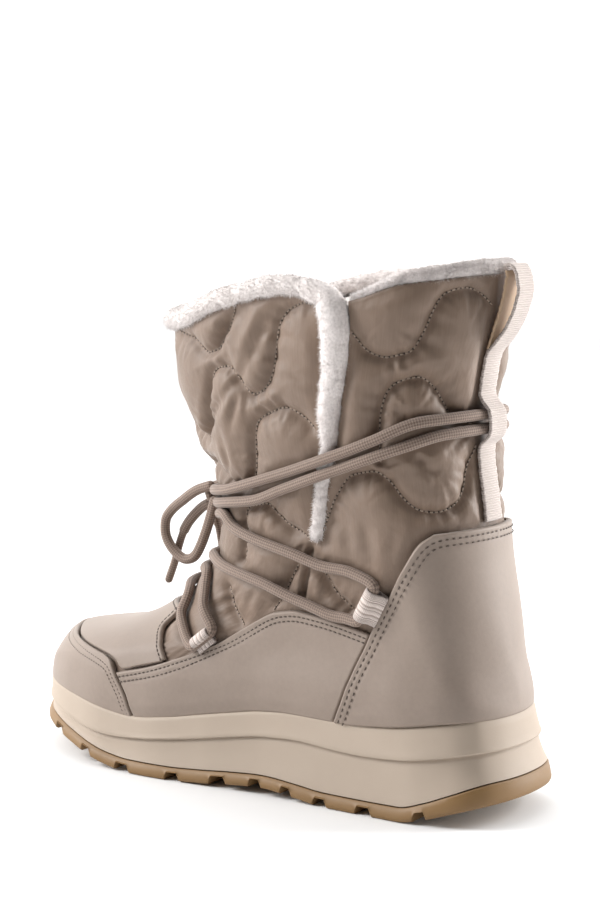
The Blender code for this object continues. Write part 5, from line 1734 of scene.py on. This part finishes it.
def even_stations(count):
    """Stations that run evenly round both rounded ends."""
    turn = np.linspace(0.02, math.pi - 0.02, count)
    return SOLE_LENGTH * (1 - np.cos(turn)) / 2


def rung_faces(first, count, inner_first, inner):
    """Quads that close a ring of 2 * count points by rungs with inner points between its two sides,
    and the two narrow end faces."""
    row = np.arange(count)
    rails = [first + row]
    rails += [inner_first + row * inner + c for c in range(inner)]
    rails += [first + 2 * count - 1 - row]
    rail = np.stack(rails, 1)
    a, b, c, d = rail[:-1, :-1], rail[:-1, 1:], rail[1:, 1:], rail[1:, :-1]
    quads = np.stack([a, b, c, d], -1).reshape(-1, 4)
    return quads, [rail[:1], rail[-1:][:, ::-1]]


def outward(obj, angle):
    """Turns the faces of a closed mesh out and keeps edges sharper than the angle crisp."""
    work = bmesh.new()
    work.from_mesh(obj.data)
    bmesh.ops.recalc_face_normals(work, faces=work.faces)
    work.to_mesh(obj.data)
    work.free()
    obj.data.set_sharp_from_angle(angle=math.radians(angle))
    return obj


def ring_stack(name, rings, mat, low, high, angle):
    """Closed solid from stacked rings.
    low and high are points between the sides of the first and last ring."""
    count = len(rings[0])
    faces, _, _ = grid_faces(len(rings), count, True)
    points = [np.concatenate(rings)]
    groups = [faces]
    used = len(rings) * count
    for level, between in ((0, low), (len(rings) - 1, high)):
        quads, ends = rung_faces(level * count, count // 2, used, between.shape[1])
        points.append(between.reshape(-1, 3))
        used += between.shape[0] * between.shape[1]
        groups += [quads, *ends]
    return outward(mesh_piece(name, np.concatenate(points), groups, [mat]), angle)


def between_rails(ring, parts):
    """Points at these shares of the way from a ring's outer side to its inner side."""
    count = len(ring) // 2
    one, two = ring[:count], ring[count:][::-1]
    return np.stack([one + (two - one) * t for t in parts], 1)


def outsole():
    """Rubber plate on the rocker line with rounded lower edge and notches between its lugs."""
    edges = [NOTCH["start"], NOTCH["start"] + NOTCH_SLOPE, NOTCH["end"] - NOTCH_SLOPE, NOTCH["end"]]
    edges = np.sort(np.concatenate(edges))
    free = even_stations(170)
    free = free[np.abs(free[:, None] - edges[None]).min(1) > 0.5]
    flats = np.array([45.0, 79.0, 168.0, 185.0])
    stations = np.unique(np.round(np.concatenate([edges, free, flats]), 3))
    floor = side_height("floor", stations)
    floor[(stations >= 44.9) & (stations <= 82.1)] = 0.0
    floor[(stations >= 165.9) & (stations <= 188.1)] = 0.0
    thick = side_height("outsole", stations)
    cut = notch_share(stations)
    one = np.ones_like(stations)
    rings = [
        sole_ring(stations, 1.3 * one, floor + NOTCH_DEPTH * cut),
        sole_ring(stations, 0.45 * one, floor + 0.35 + (NOTCH_DEPTH - 0.2) * cut),
        sole_ring(stations, 0.08 * one, floor + 1.1 + (NOTCH_DEPTH - 0.8) * cut),
        sole_ring(stations, 0.0 * one, floor + 2.2 + (NOTCH_DEPTH - 1.7) * cut),
        sole_ring(stations, 0.8 * one, floor + 0.55 * thick + 1.2),
        sole_ring(stations, 1.4 * one, floor + thick - 0.5),
        sole_ring(stations, 2.0 * one, floor + thick),
    ]
    depth = ((0.03, 1.0), (0.19, 1.0), (0.215, 0.0), (0.385, 0.0), (0.405, 0.6), (0.595, 0.6), (0.615, 0.0),
             (0.785, 0.0), (0.81, 1.0), (0.97, 1.0))
    under = between_rails(rings[0], [t for t, _ in depth])
    for i, (_, deep) in enumerate(depth):
        under[:, i, 2] = floor + deep * NOTCH_DEPTH * cut
    return ring_stack("outsole_rubber", rings, GUM, under, between_rails(rings[-1], (0.3, 0.7)), 32)


def midsole():
    """Foam cup: flared lower band with a faint hollow, groove, upper band, rounded rim and
    recess for the upper."""
    stations = even_stations(200)
    one = np.ones_like(stations)
    floor = side_height("floor", stations) + side_height("outsole", stations) + GAP
    groove = side_height("groove", stations)
    rim = side_height("rim", stations)
    turns = math.pi - turn_of(stations)
    foot = flare("groove", stations)
    band = flare("band", stations)
    top = flare("rim", stations)
    rings = [sole_ring(stations, 2.6 * one, floor), sole_ring(stations, 1.9 * one, floor + 0.3)]
    for t in np.linspace(0.04, 0.93, 9):
        inset = 1.8 + (foot - 1.8) * t + 0.45 * math.sin(math.pi * t)
        rings.append(sole_ring(stations, inset, floor + (groove - 1.2 - floor) * t))
    rings += [
        sole_ring(stations, foot + 0.05, groove - 1.35),
        sole_ring(stations, foot + 0.4, groove - 0.7),
        sole_ring(stations, foot + 0.6, groove - 0.1),
        sole_ring(stations, band + 0.25, groove + 0.4),
        sole_ring(stations, band, groove + 1.1),
    ]
    for t in np.linspace(0.2, 0.85, 6):
        rings.append(sole_ring(stations, band + (top - 0.8 - band) * t + 0.25 * math.sin(math.pi * t),
                               groove + (rim - groove) * t))
    rings += [
        sole_ring(stations, top - 0.8, rim - 1.4),
        sole_ring(stations, top - 0.55, rim - 0.75),
        sole_ring(stations, top - 0.05, rim - 0.25),
        sole_ring(stations, top + 0.6, rim - 0.05),
        upper_ring(0.06, turns, RECESS_GAP),
    ]
    bed = upper_ring(0.0, turns, RECESS_GAP)
    bed[:, 2] -= 2.5 * GAP
    rings.append(bed)
    return ring_stack("midsole_foam", rings, FOAM, between_rails(rings[0], (0.3, 0.7)),
                      between_rails(bed, (0.25, 0.5, 0.75)), 40)


def insole():
    """Footbed with a slightly raised edge."""
    turns = math.pi - turn_of(even_stations(110))
    low = upper_ring(0.0, turns, -WALL - INSOLE_GAP)
    low[:, 2] += 0.1
    top = upper_ring(0.04, turns, -WALL - INSOLE_GAP - 0.3)
    parts = np.linspace(0, 1, 13)[1:-1]
    bed = between_rails(top, parts)
    bed[..., 2] -= 1.2 * (1 - (2 * parts - 1) ** 2)
    return ring_stack("footbed", [low, top], FELT, between_rails(low, (0.3, 0.7)), bed, 40)


seat(outsole(), "gum_rubber", "outsole")
seat(midsole(), "beige_foam", "midsole")
seat(insole(), "footbed_felt", "insole")


# Floor, light and camera

def plain_floor():
    """Large white floor."""
    mat, _, _, _ = finish("white_floor", (0.80, 0.80, 0.80), 0.9, specular=0.1)
    size = 3000.0
    plan = np.array([[-1.0, -1.0], [1.0, -1.0], [1.0, 1.0], [-1.0, 1.0]])
    corners = np.column_stack([size * plan, np.full(4, -0.05)])
    floor = mesh_piece("floor", corners, [np.arange(4)[None]], [mat])


def area_light(name, place, aim, size, power):
    """Rectangular lamp turned towards a point."""
    data = bpy.data.lights.new(name, "AREA")
    data.shape = "RECTANGLE"
    data.size = size[0]
    data.size_y = size[1]
    data.energy = power
    lamp = bpy.data.objects.new(name, data)
    lamp.location = place
    lamp.rotation_euler = (Vector(aim) - Vector(place)).to_track_quat("-Z", "Y").to_euler()
    bpy.context.scene.collection.objects.link(lamp)


def sky(behind, before):
    """White studio all round: behind is its strength on the far side of the boot, before its strength
    towards the outer back quarter."""
    world = bpy.data.worlds.new("studio")
    bpy.context.scene.world = world
    world.use_nodes = True
    nodes = world.node_tree.nodes
    links = world.node_tree.links
    back = nodes["Background"]
    back.inputs["Color"].default_value = (1.0, 1.0, 1.0, 1.0)
    way = nodes.new("ShaderNodeTexCoord")
    front = nodes.new("ShaderNodeVectorMath")
    front.operation = "DOT_PRODUCT"
    front.inputs[1].default_value = (math.cos(math.radians(46.0)), math.sin(math.radians(46.0)), 0.0)
    links.new(way.outputs["Generated"], front.inputs[0])
    fade = nodes.new("ShaderNodeMapRange")
    fade.interpolation_type = "SMOOTHSTEP"
    fade.inputs["From Min"].default_value = -0.35
    fade.inputs["From Max"].default_value = 0.55
    fade.inputs["To Min"].default_value = behind
    fade.inputs["To Max"].default_value = before
    links.new(front.outputs["Value"], fade.inputs["Value"])
    links.new(fade.outputs["Result"], back.inputs["Strength"])


def camera():
    """View from the outer back quarter, 950 mm away and 262 mm high, looking slightly down."""
    turn = math.radians(35.0)
    pitch = 0.118419
    data = bpy.data.cameras.new("camera")
    data.sensor_fit = "VERTICAL"
    data.sensor_height = 36.0
    data.lens = 83.52
    data.shift_x = 0.0262
    eye = bpy.data.objects.new("camera", data)
    eye.location = (0.95 * math.cos(turn), 0.95 * math.sin(turn), 0.2624)
    look = Vector((-math.cos(turn) * math.cos(pitch), -math.sin(turn) * math.cos(pitch), -math.sin(pitch)))
    eye.rotation_euler = look.to_track_quat("-Z", "Y").to_euler()
    bpy.context.scene.collection.objects.link(eye)
    bpy.context.scene.camera = eye


plain_floor()
sky(2.1, 0.10)
area_light("left", (0.75, -1.05, 0.85), (0.0, -0.02, 0.12), (0.5, 0.9), 24.0)
area_light("right", (-0.95, 0.95, 0.55), (0.0, 0.05, 0.12), (0.5, 0.9), 26.0)
camera()
bpy.context.scene.view_settings.view_transform = "Standard"
